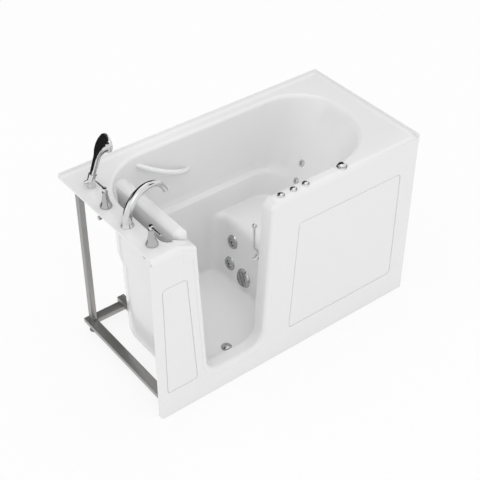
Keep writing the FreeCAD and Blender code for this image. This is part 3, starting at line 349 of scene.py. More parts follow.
def shade(obj: Object, angle: float = SMOOTH_ANGLE) -> None:
    """Shade an object smooth.

    Args:
        obj: The object to shade.
        angle: Edges that bend more than this, in degrees, stay creased.
    """
    obj.data.shade_smooth()
    obj.data.set_sharp_from_angle(angle=math.radians(angle))


def fit_out(obj: Object, body: str, finish: Finish, *nodes: str) -> None:
    """Give a finished mesh its finish, its body and the CAD nodes it stands for.

    Args:
        obj: The piece.
        body: The CAD body that it rides on.
        finish: Its finish.
        nodes: The CAD nodes that it replaces, if any.
    """
    obj.data.materials.clear()
    obj.data.materials.append(finish.material())
    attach(obj, body)
    if nodes:
        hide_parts(*nodes)
    LOG.info("piece %s on %s, %d faces", obj.name, body, len(obj.data.polygons))


def merged_copy(node: str) -> Object:
    """Copy a CAD node's loose triangles into one joined mesh.

    Args:
        node: The CAD node.

    Returns:
        A new piece with its doubles merged.
    """
    work = bmesh.new()
    work.from_mesh(frame["nodes"][node].data)
    bmesh.ops.remove_doubles(work, verts=work.verts, dist=MERGE)
    return baked(work, node + "_skin")


def dome(mesh: Mesh, drop: float) -> None:
    """Lower a flat crown towards its rim, so that it stands as a shallow dome.

    Args:
        mesh: The mesh of a piece that stands upright.
        drop: How far the rim lies below the crown's middle.
    """
    work = bmesh.new()
    work.from_mesh(mesh)
    top = max(v.co.z for v in work.verts)
    crown = [f for f in work.faces if all(v.co.z > top - MERGE for v in f.verts)]
    face = bmesh.ops.dissolve_faces(work, faces=crown)["region"][0]
    rim = list(face.verts)
    middle = sum((v.co for v in rim), Vector()) / len(rim)
    work.faces.remove(face)
    row = rim
    for n in range(1, DOME_ROWS):
        inner = [work.verts.new(v.co.lerp(middle, n / DOME_ROWS)) for v in rim]
        band(work, row, inner)
        row = inner
    hub = work.verts.new(middle)
    for k in range(len(rim)):
        work.faces.new((row[k], row[(k + 1) % len(rim)], hub))
    reach = max((v.co.xy - middle.xy).length for v in work.verts if v.co.z > top - 2 * drop)
    for v in work.verts:
        v.co.z = min(v.co.z, top - drop * ((v.co.xy - middle.xy).length / reach) ** 2)
    work.to_mesh(mesh)
    work.free()


@dataclass(frozen=True)
class Skin:
    """How a piece is smoothed: edge and dome in metres, crease in degrees, and its own finish."""

    edge: float = 0.0008
    segments: int = 2
    crease: float = 38.0
    dome: float = 0.0
    finish: Optional[Finish] = None

    def lay(self, obj: Object) -> None:
        """Dome, round and shade a piece.

        Args:
            obj: The piece.
        """
        if self.dome > 0.0:
            dome(obj.data, self.dome)
        if self.edge > 0.0:
            bevel = obj.modifiers.new("edge_round", "BEVEL")
            bevel.width = self.edge
            bevel.segments = self.segments
            bevel.limit_method = "ANGLE"
            bevel.angle_limit = math.radians(self.crease)
            settle(obj)
        shade(obj, self.crease)


class SubAssembly(ABC):
    """A group of pieces that is built and dressed together."""

    @abstractmethod
    def skins(self) -> Dict[str, Skin]:
        """Return the CAD nodes that this group dresses as they are."""

    def build(self) -> None:
        """Make the group's own meshes; groups without any need nothing here."""

    def dress(self) -> None:
        """Cover each listed CAD node with its softened copy."""
        for node, skin in self.skins().items():
            obj = merged_copy(node)
            skin.lay(obj)
            fit_out(obj, NODE_BODY[node], skin.finish or FINISHES[NODE_SLOT[node]], node)


@dataclass
class Level:
    """One level ring of the basin."""

    z: float
    left: float
    right: float
    front: float
    back: float
    corners: List[float]

    def mix(self, other: "Level", share: float) -> "Level":
        """Return a ring between this one and another.

        Args:
            other: The other ring.
            share: How far the new ring lies on the way to it, from 0 to 1.

        Returns:
            The new ring.
        """
        def at(a: float, b: float) -> float:
            """Return the value at the share."""
            return a + (b - a) * share

        return Level(at(self.z, other.z), at(self.left, other.left), at(self.right, other.right),
                     at(self.front, other.front), at(self.back, other.back),
                     [at(a, b) for a, b in zip(self.corners, other.corners)])


@dataclass
class TubMoulding(SubAssembly):
    """The moulded shell with its deck, apron, doorway frame and access panels."""

    half_length: float = 0.762
    half_width: float = 0.381
    deck_z: float = 0.948
    deck_thickness: float = 0.010
    wall: float = 0.008
    roll: float = 0.030
    rim: float = 0.016
    left: float = -0.650
    right: float = 0.633
    front: float = -0.306
    back: float = 0.305
    rim_corners: Tuple[float, ...] = (0.290, 0.230, 0.340, 0.044)
    seat_corners: Tuple[float, ...] = (0.236, 0.120, 0.150, 0.044)
    riser_corner: float = 0.070
    floor_back_left: float = 0.200
    ledge_z: float = 0.575
    ledge_width: float = 0.036
    ledge_drop: float = 0.008
    ledge_profile: Tuple[Pair, ...] = ((0.016, 0.0), (0.003, 0.004), (0.0, 0.026))
    seat_z: float = 0.441
    seat_fall: float = 0.001
    seat_round: float = 0.040
    seat_back: float = 0.365
    nose: float = 0.053
    nose_round: float = 0.040
    riser_draft: float = 0.040
    floor_z: float = 0.096
    floor_round: float = 0.020
    left_draft: float = 0.038
    upper_back_draft: float = 0.005
    lower_back_draft: float = 0.014
    door_left: float = -0.536
    door_right: float = -0.130
    door_slope: float = 0.055
    sill_z: float = 0.132
    door_corner: float = 0.085
    door_steps: int = 12
    frame_band: float = 0.030
    shoulder_run: float = 0.079
    shoulder_depth: float = 0.080
    right_run: float = 0.026
    right_drop: float = 0.034
    right_ease: float = 0.021
    upstand_thickness: float = 0.010
    upstand_height: float = 0.017
    cove_height: float = 0.0155
    cove_width: float = 0.026
    skin_gap: float = 0.0004
    arc_steps: int = 20
    side_steps: int = 14
    level_gap: float = 0.022
    soft_passes: int = 1
    soft_factor: float = 0.5
    apron: Skin = Skin(0.003, 4, 30.0)
    panel: Skin = Skin(0.0035, 4, SMOOTH_ANGLE)
    surround: Skin = Skin(0.004, 3, SMOOTH_ANGLE)
    strip: Skin = Skin(0.0042, 4, SMOOTH_ANGLE)

    @property
    def top_z(self) -> float:
        """The height of the upstand's top."""
        return self.deck_z + self.upstand_height

    @property
    def clear_y(self) -> float:
        """A place in front of the whole tub, where its cuts start."""
        return -self.half_width - self.wall

    def skins(self) -> Dict[str, Skin]:
        """Return the flat-sided pieces round the shell."""
        return {
            "front_apron": self.apron,
            "access_panel_left": self.panel,
            "access_panel_right": self.panel,
        }

    def key_levels(self) -> List[Level]:
        """Return the rings at which the basin's profile changes, from the rim down.

        Returns:
            The rings, each lower than the last.
        """
        rest_foot = self.seat_z + self.seat_round
        nose_top = self.seat_z - self.seat_fall
        riser_foot = self.nose - self.riser_draft
        cove_top = self.floor_z + self.floor_round
        rows: List[Tuple[float, float, float, float]] = []

        def rest(z: float) -> float:
            """Return the backrest's place at a height."""
            slope = self.right - self.seat_back
            return self.seat_back + slope * (z - rest_foot) / (self.deck_z - rest_foot)

        for a in QUARTER:
            z = self.deck_z - self.rim * (1 - math.cos(a))
            rows.append((z, rest(z), 0.0, -self.rim * (1 - math.sin(a))))
        for rise, depth in (*self.ledge_profile, (-self.ledge_drop, self.ledge_width)):
            rows.append((self.ledge_z + rise, rest(self.ledge_z + rise), depth, 0.0))
        for a in QUARTER:
            z = rest_foot - self.seat_round * math.sin(a)
            right = self.seat_back - self.seat_round * (1 - math.cos(a))
            rows.append((z, right, self.ledge_width, 0.0))
        for a in QUARTER:
            z = nose_top - self.nose_round * (1 - math.cos(a))
            right = self.nose + self.nose_round * (1 - math.sin(a))
            rows.append((z, right, self.ledge_width, 0.0))
        for a in QUARTER:
            z = cove_top - self.floor_round * math.sin(a)
            rows.append((z, riser_foot, self.ledge_width, self.floor_round * (1 - math.cos(a))))
        return [self._level(*row) for row in rows]

    def _level(self, z: float, right: float, step: float, inset: float) -> Level:
        """Return one ring.

        Args:
            z: Its height.
            right: The backrest's or riser's place at that height.
            step: How far the back wall has stepped in.
            inset: How far the whole ring is drawn in.

        Returns:
            The ring with its sides and corner radii.
        """
        low = (z - self.floor_z) / (self.deck_z - self.floor_z)
        upper = max(0.0, (z - self.seat_z) / (self.deck_z - self.seat_z))
        share = (self.deck_z - z) / (self.deck_z - self.ledge_z)
        back = self.back - step - self.upper_back_draft * min(share, 1.0)
        back -= self.lower_back_draft * max(share - 1.0, 0.0)
        corners = [self.floor_back_left + (self.rim_corners[0] - self.floor_back_left) * low]
        for seat, rim in zip(self.seat_corners[1:3], self.rim_corners[1:3]):
            corners.append(self.riser_corner if z < self.seat_z else seat + (rim - seat) * upper)
        corners.append(self.rim_corners[3])
        left = self.left + self.left_draft * (1.0 - low)
        return Level(z, left + inset, right - inset, self.front + inset, back - inset,
                     [radius - inset for radius in corners])

    def levels(self) -> List[Level]:
        """Return the key rings with even steps between those that lie far apart."""
        keys = self.key_levels()
        rows = [keys[0]]
        for upper, lower in zip(keys, keys[1:]):
            span = max(abs(upper.z - lower.z), abs(upper.right - lower.right))
            steps = max(1, math.ceil(span / self.level_gap))
            rows += [upper.mix(lower, n / steps) for n in range(1, steps + 1)]
        return rows

    def ring(self, level: Level) -> List[Vector]:
        """Return a ring's points, corner by corner from the back left.

        Args:
            level: The ring's sides and radii.

        Returns:
            The same number of points for every ring.
        """
        arcs = [[Vector((c.x + r * math.cos(a), c.y + r * math.sin(a), level.z)) for a in turns]
                for c, r, turns in self._corners(level)]
        return self._stitched(arcs)

    def _stitched(self, arcs: List[List[Vector]]) -> List[Vector]:
        """Join the corners' arcs into one closed row.

        Args:
            arcs: Each corner's points.

        Returns:
            The arcs' points, with even steps along the sides between them.
        """
        shares = [n / self.side_steps for n in range(1, self.side_steps)]
        points: List[Vector] = []
        for arc, following in zip(arcs, arcs[1:] + arcs[:1]):
            points += arc + [arc[-1].lerp(following[0], share) for share in shares]
        return points

    def _corners(self, level: Level) -> List[Tuple[Vector, float, List[float]]]:
        """Return each corner's centre, radius and angles."""
        bl, br, fr, fl = level.corners
        spots = (
            (level.left + bl, level.back - bl, bl, 180),
            (level.right - br, level.back - br, br, 90),
            (level.right - fr, level.front + fr, fr, 0),
            (level.left + fl, level.front + fl, fl, -90),
        )
        return [(Vector((x, y, level.z)), r,
                 [math.radians(start - 90 * n / self.arc_steps) for n in range(self.arc_steps + 1)])
                for x, y, r, start in spots]

    def deck_edge(self, rim: Level) -> List[Vector]:
        """Return the deck's outer points that face the rim's points.

        Args:
            rim: The rim's ring.

        Returns:
            One point on the deck's rectangle for each of the ring's points.
        """
        low = Vector((-self.half_length, -self.half_width + self.roll))
        high = Vector((self.half_length, self.half_width))
        arcs: List[List[Vector]] = []
        for centre, _, turns in self._corners(rim):
            arc = []
            for a in turns:
                way = Vector((math.cos(a), math.sin(a), 0.0))
                reach = [((high[k] if way[k] > 0 else low[k]) - centre[k]) / way[k]
                         for k in range(2) if abs(way[k]) > MERGE]
                arc.append(centre + way * min(reach))
            middle = turns[len(turns) // 2]
            corner = Vector((high.x if math.cos(middle) > 0 else low.x,
                             high.y if math.sin(middle) > 0 else low.y, rim.z))
            near = min(range(len(arc)), key=lambda n: (arc[n] - corner).length)
            arc[near] = corner
            arcs.append(arc)
        return self._stitched(arcs)

    def shell_mesh(self) -> Object:
        """Build the shell's seen surface: deck, rolled front edge and basin, with its wall behind.

        Returns:
            The shell as a closed mesh, still without its doorway.
        """
        levels = self.levels()
        work = bmesh.new()
        rows = [[work.verts.new(p) for p in self.deck_edge(levels[0])]]
        rows += [[work.verts.new(p) for p in self.ring(level)] for level in levels]
        for upper, lower in zip(rows, rows[1:]):
            band(work, upper, lower)
        work.faces.new(rows[-1])
        self._front_roll(work, rows[0])
        bmesh.ops.remove_doubles(work, verts=work.verts, dist=MERGE)
        work.normal_update()
        if sum(f.normal.z * f.calc_area() for f in work.faces) < 0.0:
            bmesh.ops.reverse_faces(work, faces=work.faces)
        under = self.deck_z - 2 * self.rim
        basin = [v for v in work.verts if v.co.z < under and self.front - MERGE <= v.co.y]
        for _ in range(self.soft_passes):
            bmesh.ops.smooth_vert(work, verts=basin, factor=self.soft_factor,
                                  use_axis_x=True, use_axis_y=True, use_axis_z=True)
        obj = baked(work, "tub_shell_skin")
        group = obj.vertex_groups.new(name="wall_share")
        share = self.wall / self.deck_thickness
        lip = self.front - self.rim - MERGE
        for vertex in obj.data.vertices:
            on_deck = vertex.co.z > self.deck_z - MERGE or vertex.co.y < lip
            group.add([vertex.index], 1.0 if on_deck else share, "REPLACE")
        solid = obj.modifiers.new("wall", "SOLIDIFY")
        solid.thickness = self.deck_thickness
        solid.offset = -1.0
        solid.vertex_group = group.name
        settle(obj)
        return obj

    def _front_roll(self, work: BMesh, edge: Sequence[BMVert]) -> None:
        """Roll the deck's front edge over towards the apron.

        Args:
            work: The mesh being built.
            edge: The deck's outer vertices.
        """
        start = -self.half_width + self.roll
        row = sorted((v for v in edge if abs(v.co.y - start) < MERGE), key=lambda v: v.co.x)
        for n in range(1, CURVE_STEPS + 1):
            turn = math.pi / 2 * n / CURVE_STEPS
            y = start - self.roll * math.sin(turn)
            z = self.deck_z - self.roll * (1 - math.cos(turn))
            lower = [work.verts.new((v.co.x, y, z)) for v in row]
            for a, b, c, d in zip(row, row[1:], lower[1:], lower):
                work.faces.new((a, b, c, d))
            row = lower

    def doorway(self) -> Object:
        """Build the space of the doorway and its frame.

        Returns:
            The space as a closed prism.
        """
        spread = self.frame_band * math.sqrt(1 + self.door_slope ** 2)
        low = self.sill_z - self.frame_band
        radius = self.door_corner + self.frame_band
        lean = math.atan(self.door_slope)
        left_low = self.door_left - spread + self.door_slope * (self.deck_z - low)
        right_low = self.door_right + spread - self.door_slope * (self.deck_z - low)
        left_top = self.door_left - spread - self.door_slope * self.upstand_height
        right_top = self.door_right + spread + self.door_slope * self.upstand_height
        reach = radius * math.tan((math.pi / 2 - lean) / 2)
        sweep = math.pi / 2 + lean
        outline = [(left_top, self.top_z)]
        for x, start in ((left_low + reach, math.pi - lean), (right_low - reach, 1.5 * math.pi)):
            for n in range(self.door_steps + 1):
                a = start + sweep * n / self.door_steps
                outline.append((x + radius * math.cos(a), low + radius + radius * math.sin(a)))
        outline.append((right_top, self.top_z))
        return prism("doorway_space", outline, self.clear_y, self.front + self.wall / 2)

    def shoulder_ease(self) -> Object:
        """Build the space above the eased shoulder on the doorway's right.

        Returns:
            The space's object, whose underside is the shoulder's curve.
        """
        deck = self.deck_z - self.skin_gap
        lean = Vector((-self.door_slope, -1.0))
        top = Vector((self.door_right + self.right_run, deck))
        foot = Vector((self.door_right, deck)) + lean * self.right_drop
        middle = (top + foot) / 2
        curve = eased(top + Vector((self.right_ease, 0.0)), top, middle)
        curve += eased(middle, foot, foot + lean * self.right_ease)[1:]
        past = foot.x - self.frame_band
        outline = [(p.x, p.y) for p in curve]
        outline += [(past, curve[-1].y), (past, self.top_z), (curve[0].x, self.top_z)]
        return prism("shoulder_ease", outline, self.clear_y, self.front + self.roll)

    def build(self) -> None:
        """Build the shell with its doorway and shoulders cut, its frame and the low upstand."""
        shell = self.shell_mesh()
        low = Vector((self.door_left - self.shoulder_run, self.clear_y,
                      self.deck_z - self.shoulder_depth))
        high = Vector((self.door_left, self.front + self.wall / 8, self.top_z))
        ease = self.shoulder_ease()
        for space in (self.doorway(), block("shoulder_space", low, high)):
            carve(shell, space)
            bpy.data.objects.remove(space)
        carve(shell, ease)
        shade(shell)
        fit_out(shell, ROOT_BODY, GELCOAT, "tub_shell")
        surround = merged_copy("door_frame")
        carve(surround, ease)
        bpy.data.objects.remove(ease)
        self.surround.lay(surround)
        fit_out(surround, NODE_BODY["door_frame"], GELCOAT, "door_frame")
        self._upstand()

    def _upstand(self) -> None:
        """Build the upstand along the wall side and the backrest end, with its coved foot."""
        base = self.deck_z - self.deck_thickness / 2
        outer_x = self.half_length - self.skin_gap
        outer_y = self.half_width - self.skin_gap
        inner_x = self.half_length - self.upstand_thickness
        inner_y = self.half_width - self.upstand_thickness
        strips = {
            "upstand_end": ((inner_x, -outer_y, base), (outer_x, outer_y, self.top_z)),
            "upstand_back": ((-outer_x, inner_y, base), (inner_x, outer_y, self.top_z)),
        }
        for name, (low, high) in strips.items():
            obj = block(name, Vector(low), Vector(high))
            self.strip.lay(obj)
            fit_out(obj, ROOT_BODY, GELCOAT)
        start_y = -self.half_width + self.roll
        coves = (
            ("cove_end", (inner_x, start_y, 0.0), inner_y - start_y, 0.0),
            ("cove_back", (inner_x, inner_y, 0.0), inner_x + outer_x, math.pi / 2),
        )
        section = [(0.0, base), (-self.cove_width, base)]
        for n in range(CURVE_STEPS + 1):
            a = math.pi / 2 * n / CURVE_STEPS
            section.append((-self.cove_width * (1 - math.sin(a)),
                            self.deck_z + self.cove_height * (1 - math.cos(a))))
        for name, corner, length, turn in coves:
            obj = prism(name, section, 0.0, length)
            obj.data.transform(Matrix.Translation(corner) @ Matrix.Rotation(turn, 4, "Z"))
            shade(obj)
            fit_out(obj, ROOT_BODY, GELCOAT)


@dataclass
class Door(SubAssembly):
    """The inward door with its seal, hinges and latch."""

    screw_radius: float = 0.0035
    screw_height: float = 0.0016
    screw_spacing: float = 0.034
    screw_count: int = 2
    screw_inset: float = 0.0065
    plate_thickness: float = 0.0037
    hinge_levels: Pair = (0.230, 0.820)

    def skins(self) -> Dict[str, Skin]:
        """Return the door's CAD pieces."""
        return {
            "door_leaf": Skin(0.004, 3, 34.0), "door_seal": Skin(0.001, 2, SMOOTH_ANGLE),
            "hinge_pins": Skin(0.0006), "hinge_brackets": Skin(0.0008),
            "latch_post": Skin(0.0012, 2, 34.0), "latch_lever": Skin(0.0),
        }

    def build(self) -> None:
        """Put a row of screw heads on each hinge plate."""
        low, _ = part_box("hinge_brackets")
        tree = row_tree("screw_row")
        wall = low[1] + self.plate_thickness
        turn = Matrix.Rotation(math.radians(-90), 4, "X")
        sizes = {"Count": self.screw_count, "Spacing": self.screw_spacing,
                 "Radius": self.screw_radius, "Height": self.screw_height}
        for side, level in zip(("lower", "upper"), self.hinge_levels):
            start = level + self.screw_spacing * (self.screw_count - 1) / 2
            place = Matrix.Translation((low[0] + self.screw_inset, wall, start)) @ turn
            grow("hinge_screws_" + side, tree, sizes, place, ROOT_BODY, FITTING_STEEL)


@dataclass
class BaseFrame(SubAssembly):
    """The welded steel frame with its bearers, posts and levelling feet."""

    tube: Skin = Skin(0.0025, 2, SMOOTH_ANGLE)
    foot: Skin = Skin(0.0008, 2, 34.0)

    def skins(self) -> Dict[str, Skin]:
        """Return every rail, bearer, post and foot."""
        tubes = [node for node, slot in NODE_SLOT.items() if slot == Slot.FRAME_STEEL.value]
        feet = [node for node in NODE_SLOT if node.startswith("foot_")]
        return {**dict.fromkeys(tubes, self.tube), **dict.fromkeys(feet, self.foot)}


@dataclass
class TapSet(SubAssembly):
    """The deck taps, the hand shower and the waste."""

    rings: Tuple[Tuple[int, float], ...] = ((1, 0.0), (8, 0.011), (15, 0.022), (22, 0.033))
    nipple_radius: float = 0.0016
    nipple_height: float = 0.0022
    lean: float = 21.0
    head_turn: float = 72.0
    face_slack: float = 1e-4
    back_reach: Pair = (0.84, 0.42)
    back_flatness: float = 0.8
    turned: Skin = Skin(0.0012, 3, 30.0)
    handle: Skin = Skin(0.001, 2, 36.0)
    arch: Skin = Skin(0.0015, 2, 34.0)

    def skins(self) -> Dict[str, Skin]:
        """Return the taps' and the waste's CAD pieces."""
        bright = ("shower_holder", "overflow_plate", "drain_knob")
        # The valves and the drain take the darker chrome, whose colour is painted shade.
        satin_painted_shade = ("hot_valve", "cold_valve", "drain_body", "drain_stopper")
        held = ("hot_lever", "cold_lever", "hand_shower")
        return {
            **dict.fromkeys(bright, self.turned),
            **dict.fromkeys(satin_painted_shade, replace(self.turned, finish=SATIN_PAINTED_SHADE_CHROME)),
            **dict.fromkeys(held, self.handle),
            "spout": self.arch,
        }

    def build(self) -> None:
        """Put rings of spray nipples on the hand shower's face."""
        low, high = (Vector(corner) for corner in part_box("hand_shower"))
        tilt = math.radians(self.lean + self.head_turn)
        facing = Vector((math.sin(tilt), 0.0, math.cos(tilt)))
        tree = circle_tree("nipple_ring")
        mesh = frame["nodes"]["hand_shower"].data
        reach = max(v.co.dot(facing) for v in mesh.vertices)
        face = [v.co for v in mesh.vertices if v.co.dot(facing) > reach - self.face_slack]
        centre = sum(face, Vector()) / len(face)
        centre.y = (low.y + high.y) / 2
        place = Matrix.Translation(centre) @ Matrix.Rotation(tilt, 4, "Y")
        body = NODE_BODY["hand_shower"]
        for number, (count, radius) in enumerate(self.rings):
            sizes = {"Count": count, "Ring Radius": radius, "Radius": self.nipple_radius,
                     "Height": self.nipple_height}
            grow("spray_nipples_%d" % number, tree, sizes, place, body, SEAL_RUBBER)

    def dress(self) -> None:
        """Dress the taps, and let the hand shower's back mirror like a nearly flat one."""
        super().dress()
        mesh = bpy.data.objects["hand_shower_skin"].data
        tilt = math.radians(self.lean)
        back = Vector((-math.cos(tilt), 0.0, math.sin(tilt)))
        low, high = (corner[2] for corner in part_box("hand_shower"))
        normals = []
        for loop, corner in zip(mesh.loops, mesh.corner_normals):
            normal = Vector(corner.vector)
            rise = (mesh.vertices[loop.vertex_index].co.z - low) / (high - low)
            reach = self.back_reach[0] + (self.back_reach[1] - self.back_reach[0]) * rise
            share = self.back_flatness if normal.dot(back) > reach else 0.0
            normals.append(normal.lerp(back, share).normalized())
        mesh.normals_split_custom_set(normals)


@dataclass
class JetSystem(SubAssembly):
    """The jets, suction, deck controls, grab bar, pump and pipes."""

    mouth_radius: float = 0.0068
    mouth_depth: float = 0.0015
    back_scale: float = 0.5
    slot_floor: float = 0.0055
    grille_radius: float = 0.041
    riser_draft: float = 0.040
    riser_rise: float = 0.284
    throat_lift: float = 0.0002
    grille_lift: float = 0.0003
    turned: Skin = Skin(0.0012, 3, 32.0)
    button: Skin = Skin(0.0, 2, SMOOTH_ANGLE, 0.003)
    knob: Skin = Skin(0.0, 2, SMOOTH_ANGLE, 0.0035)
    fitting: Skin = Skin(0.001, 2, 34.0)
    tube: Skin = Skin(0.0, 2, 50.0)

    def build(self) -> None:
        """Put dark plates in the throats of the jets and behind the suction's slots, as painted
        shade of those deep openings.
        """
        for joint in BEHAVIOUR["joints"]:
            if joint["child"].startswith("nozzle_"):
                node = BEHAVIOUR["bodies"][joint["child"]][0]
                scale = self.back_scale if node.startswith("back_") else 1.0
                facing = Vector(joint["axis"])
                deep = self.mouth_depth * scale - self.throat_lift
                self._shadow(node, facing, Vector(joint["pos_m"]), deep, self.mouth_radius * scale)
        low, high = (Vector(corner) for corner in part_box("suction_cover"))
        facing = Vector((-self.riser_rise, 0.0, self.riser_draft)).normalized()
        deep = self.slot_floor - self.grille_lift
        self._shadow("suction_cover", facing, (low + high) / 2, deep, self.grille_radius)

    def _shadow(self, node: str, facing: Vector, middle: Vector, deep: float,
                radius: float) -> None:
        """Put a dark plate at the bottom of a piece's opening, as painted shade.

        Args:
            node: The CAD node with the opening.
            facing: The way that the opening faces.
            middle: A point on the opening's axis.
            deep: How far the plate lies below the piece's crown.
            radius: The plate's radius.
        """
        crown = max(v.co.dot(facing) for v in frame["nodes"][node].data.vertices)
        centre = middle + facing * (crown - deep - middle.dot(facing))
        # The black plate is painted shade, standing in for the dark depth of the opening.
        obj = disc(node + "_throat_painted_shade", centre, facing, radius)
        fit_out(obj, NODE_BODY[node], SEAL_RUBBER)

    def skins(self) -> Dict[str, Skin]:
        """Return the jet system's CAD pieces."""
        small = ("button_", "riser_", "back_", "air_")
        made = {node: self.turned for node in NODE_SLOT if node.startswith(small)}
        risers = [node for node in made if node.startswith("riser_")]
        # The riser jets take the darker chrome, whose colour is painted shade.
        made.update(dict.fromkeys(risers, replace(self.turned, finish=SATIN_PAINTED_SHADE_CHROME)))
        made.update(dict.fromkeys(("button_pump", "button_air", "button_light"), self.button))
        made["air_knob"] = self.knob
        fittings = ("suction_body", "pump_volute", "pump_motor", "pump_foot")
        made.update(dict.fromkeys(fittings, self.fitting))
        # The suction cover takes the darker chrome, whose colour is painted shade.
        made["suction_cover"] = replace(self.fitting, finish=SATIN_PAINTED_SHADE_CHROME)
        made.update(dict.fromkeys(("suction_pipe", "jet_pipes", "grab_bar"), self.tube))
        return made


def _stud(tree: NodeTree, given: Node) -> Node:
    """Add the small round stud that a row or a ring repeats.

    Args:
        tree: The tree being built.
        given: Its input node, with a radius and a height.

    Returns:
        The node that makes the stud.
    """
    stud = tree.nodes.new("GeometryNodeMeshCone")
    taper = tree.nodes.new("ShaderNodeMath")
    taper.operation = "MULTIPLY"
    fill(stud, {"Vertices": STUD_SIDES})
    fill(taper, {1: STUD_TAPER})
    wire(tree, (given, "Radius", stud, "Radius Bottom"), (given, "Radius", taper, 0),
         (taper, 0, stud, "Radius Top"), (given, "Height", stud, "Depth"))
    return stud


def _ending(tree: NodeTree, given: Node, points: NodeSocket) -> None:
    """Finish a tree: studs on the points, made real and given their material.

    Args:
        tree: The tree being built.
        given: Its input node.
        points: The points that carry the studs.
    """
    put = tree.nodes.new("GeometryNodeInstanceOnPoints")
    real = tree.nodes.new("GeometryNodeRealizeInstances")
    paint = tree.nodes.new("GeometryNodeSetMaterial")
    leaving = tree.nodes.new("NodeGroupOutput")
    tree.links.new(points, put.inputs["Points"])
    wire(tree, (_stud(tree, given), "Mesh", put, "Instance"), (put, "Instances", real, "Geometry"),
         (real, "Geometry", paint, "Geometry"), (given, "Material", paint, "Material"),
         (paint, "Geometry", leaving, "Geometry"))


def _started(name: str, spread: str) -> Tuple[NodeTree, Node]:
    """Start a geometry tree with its named inputs.

    Args:
        name: The tree's name.
        spread: The name of the length that sets the studs apart.

    Returns:
        The tree and its input node.
    """
    tree = bpy.data.node_groups.new(name, "GeometryNodeTree")
    tree.interface.new_socket(name="Geometry", in_out="OUTPUT", socket_type="NodeSocketGeometry")
    for label, kind in (("Count", "Int"), (spread, "Float"), ("Radius", "Float"),
                        ("Height", "Float"), ("Material", "Material")):
        tree.interface.new_socket(name=label, in_out="INPUT", socket_type="NodeSocket" + kind)
    return tree, tree.nodes.new("NodeGroupInput")


def row_tree(name: str) -> NodeTree:
    """Build a tree that repeats a stud in a straight row along its own Y.

    Args:
        name: The tree's name.

    Returns:
        The tree, with count, spacing, radius and height as inputs.
    """
    tree, given = _started(name, "Spacing")
    line = tree.nodes.new("GeometryNodeMeshLine")
    step = tree.nodes.new("ShaderNodeCombineXYZ")
    wire(tree, (given, "Spacing", step, "Y"), (given, "Count", line, "Count"),
         (step, "Vector", line, "Offset"))
    _ending(tree, given, line.outputs["Mesh"])
    return tree


def circle_tree(name: str) -> NodeTree:
    """Build a tree that repeats a stud round a ring.

    Args:
        name: The tree's name.

    Returns:
        The tree, with count, ring radius, radius and height as inputs.
    """
    tree, given = _started(name, "Ring Radius")
    ring = tree.nodes.new("GeometryNodeCurvePrimitiveCircle")
    spots = tree.nodes.new("GeometryNodeCurveToPoints")
    spots.mode = "COUNT"
    wire(tree, (given, "Ring Radius", ring, "Radius"), (ring, "Curve", spots, "Curve"),
         (given, "Count", spots, "Count"))
    _ending(tree, given, spots.outputs["Points"])
    return tree


def grow(name: str, tree: NodeTree, sizes: Dict[str, float], place: Matrix, body: str,
         finish: Finish) -> None:
    """Run a geometry tree and keep its result as a piece.

    Args:
        name: The new piece's name.
        tree: The tree to run.
        sizes: The tree's inputs by name.
        place: Where the piece stands and how it is turned.
        body: The CAD body that it rides on.
        finish: The finish of the repeated studs.
    """
    obj = new_object(name, bpy.data.meshes.new(name))
    grower = obj.modifiers.new("grower", "NODES")
    grower.node_group = tree
    inputs = (item for item in tree.interface.items_tree if item.in_out == "INPUT")
    sockets = {item.name: item.identifier for item in inputs}
    for label, value in sizes.items():
        grower[sockets[label]] = value
    grower[sockets["Material"]] = finish.material()
    settle(obj)
    obj.data.transform(place)
    shade(obj)
    fit_out(obj, body, finish)


@dataclass(frozen=True)
class Lamp:
    """A flat soft lamp: its place, sides in metres, power in watts and spread in degrees."""

    name: str
    place: Place
    sides: Pair
    power: float
    spread: float = 180.0


@dataclass(frozen=True)
class Card:
    """A dark card: its place and its sides in metres."""

    name: str
    place: Place
    sides: Pair


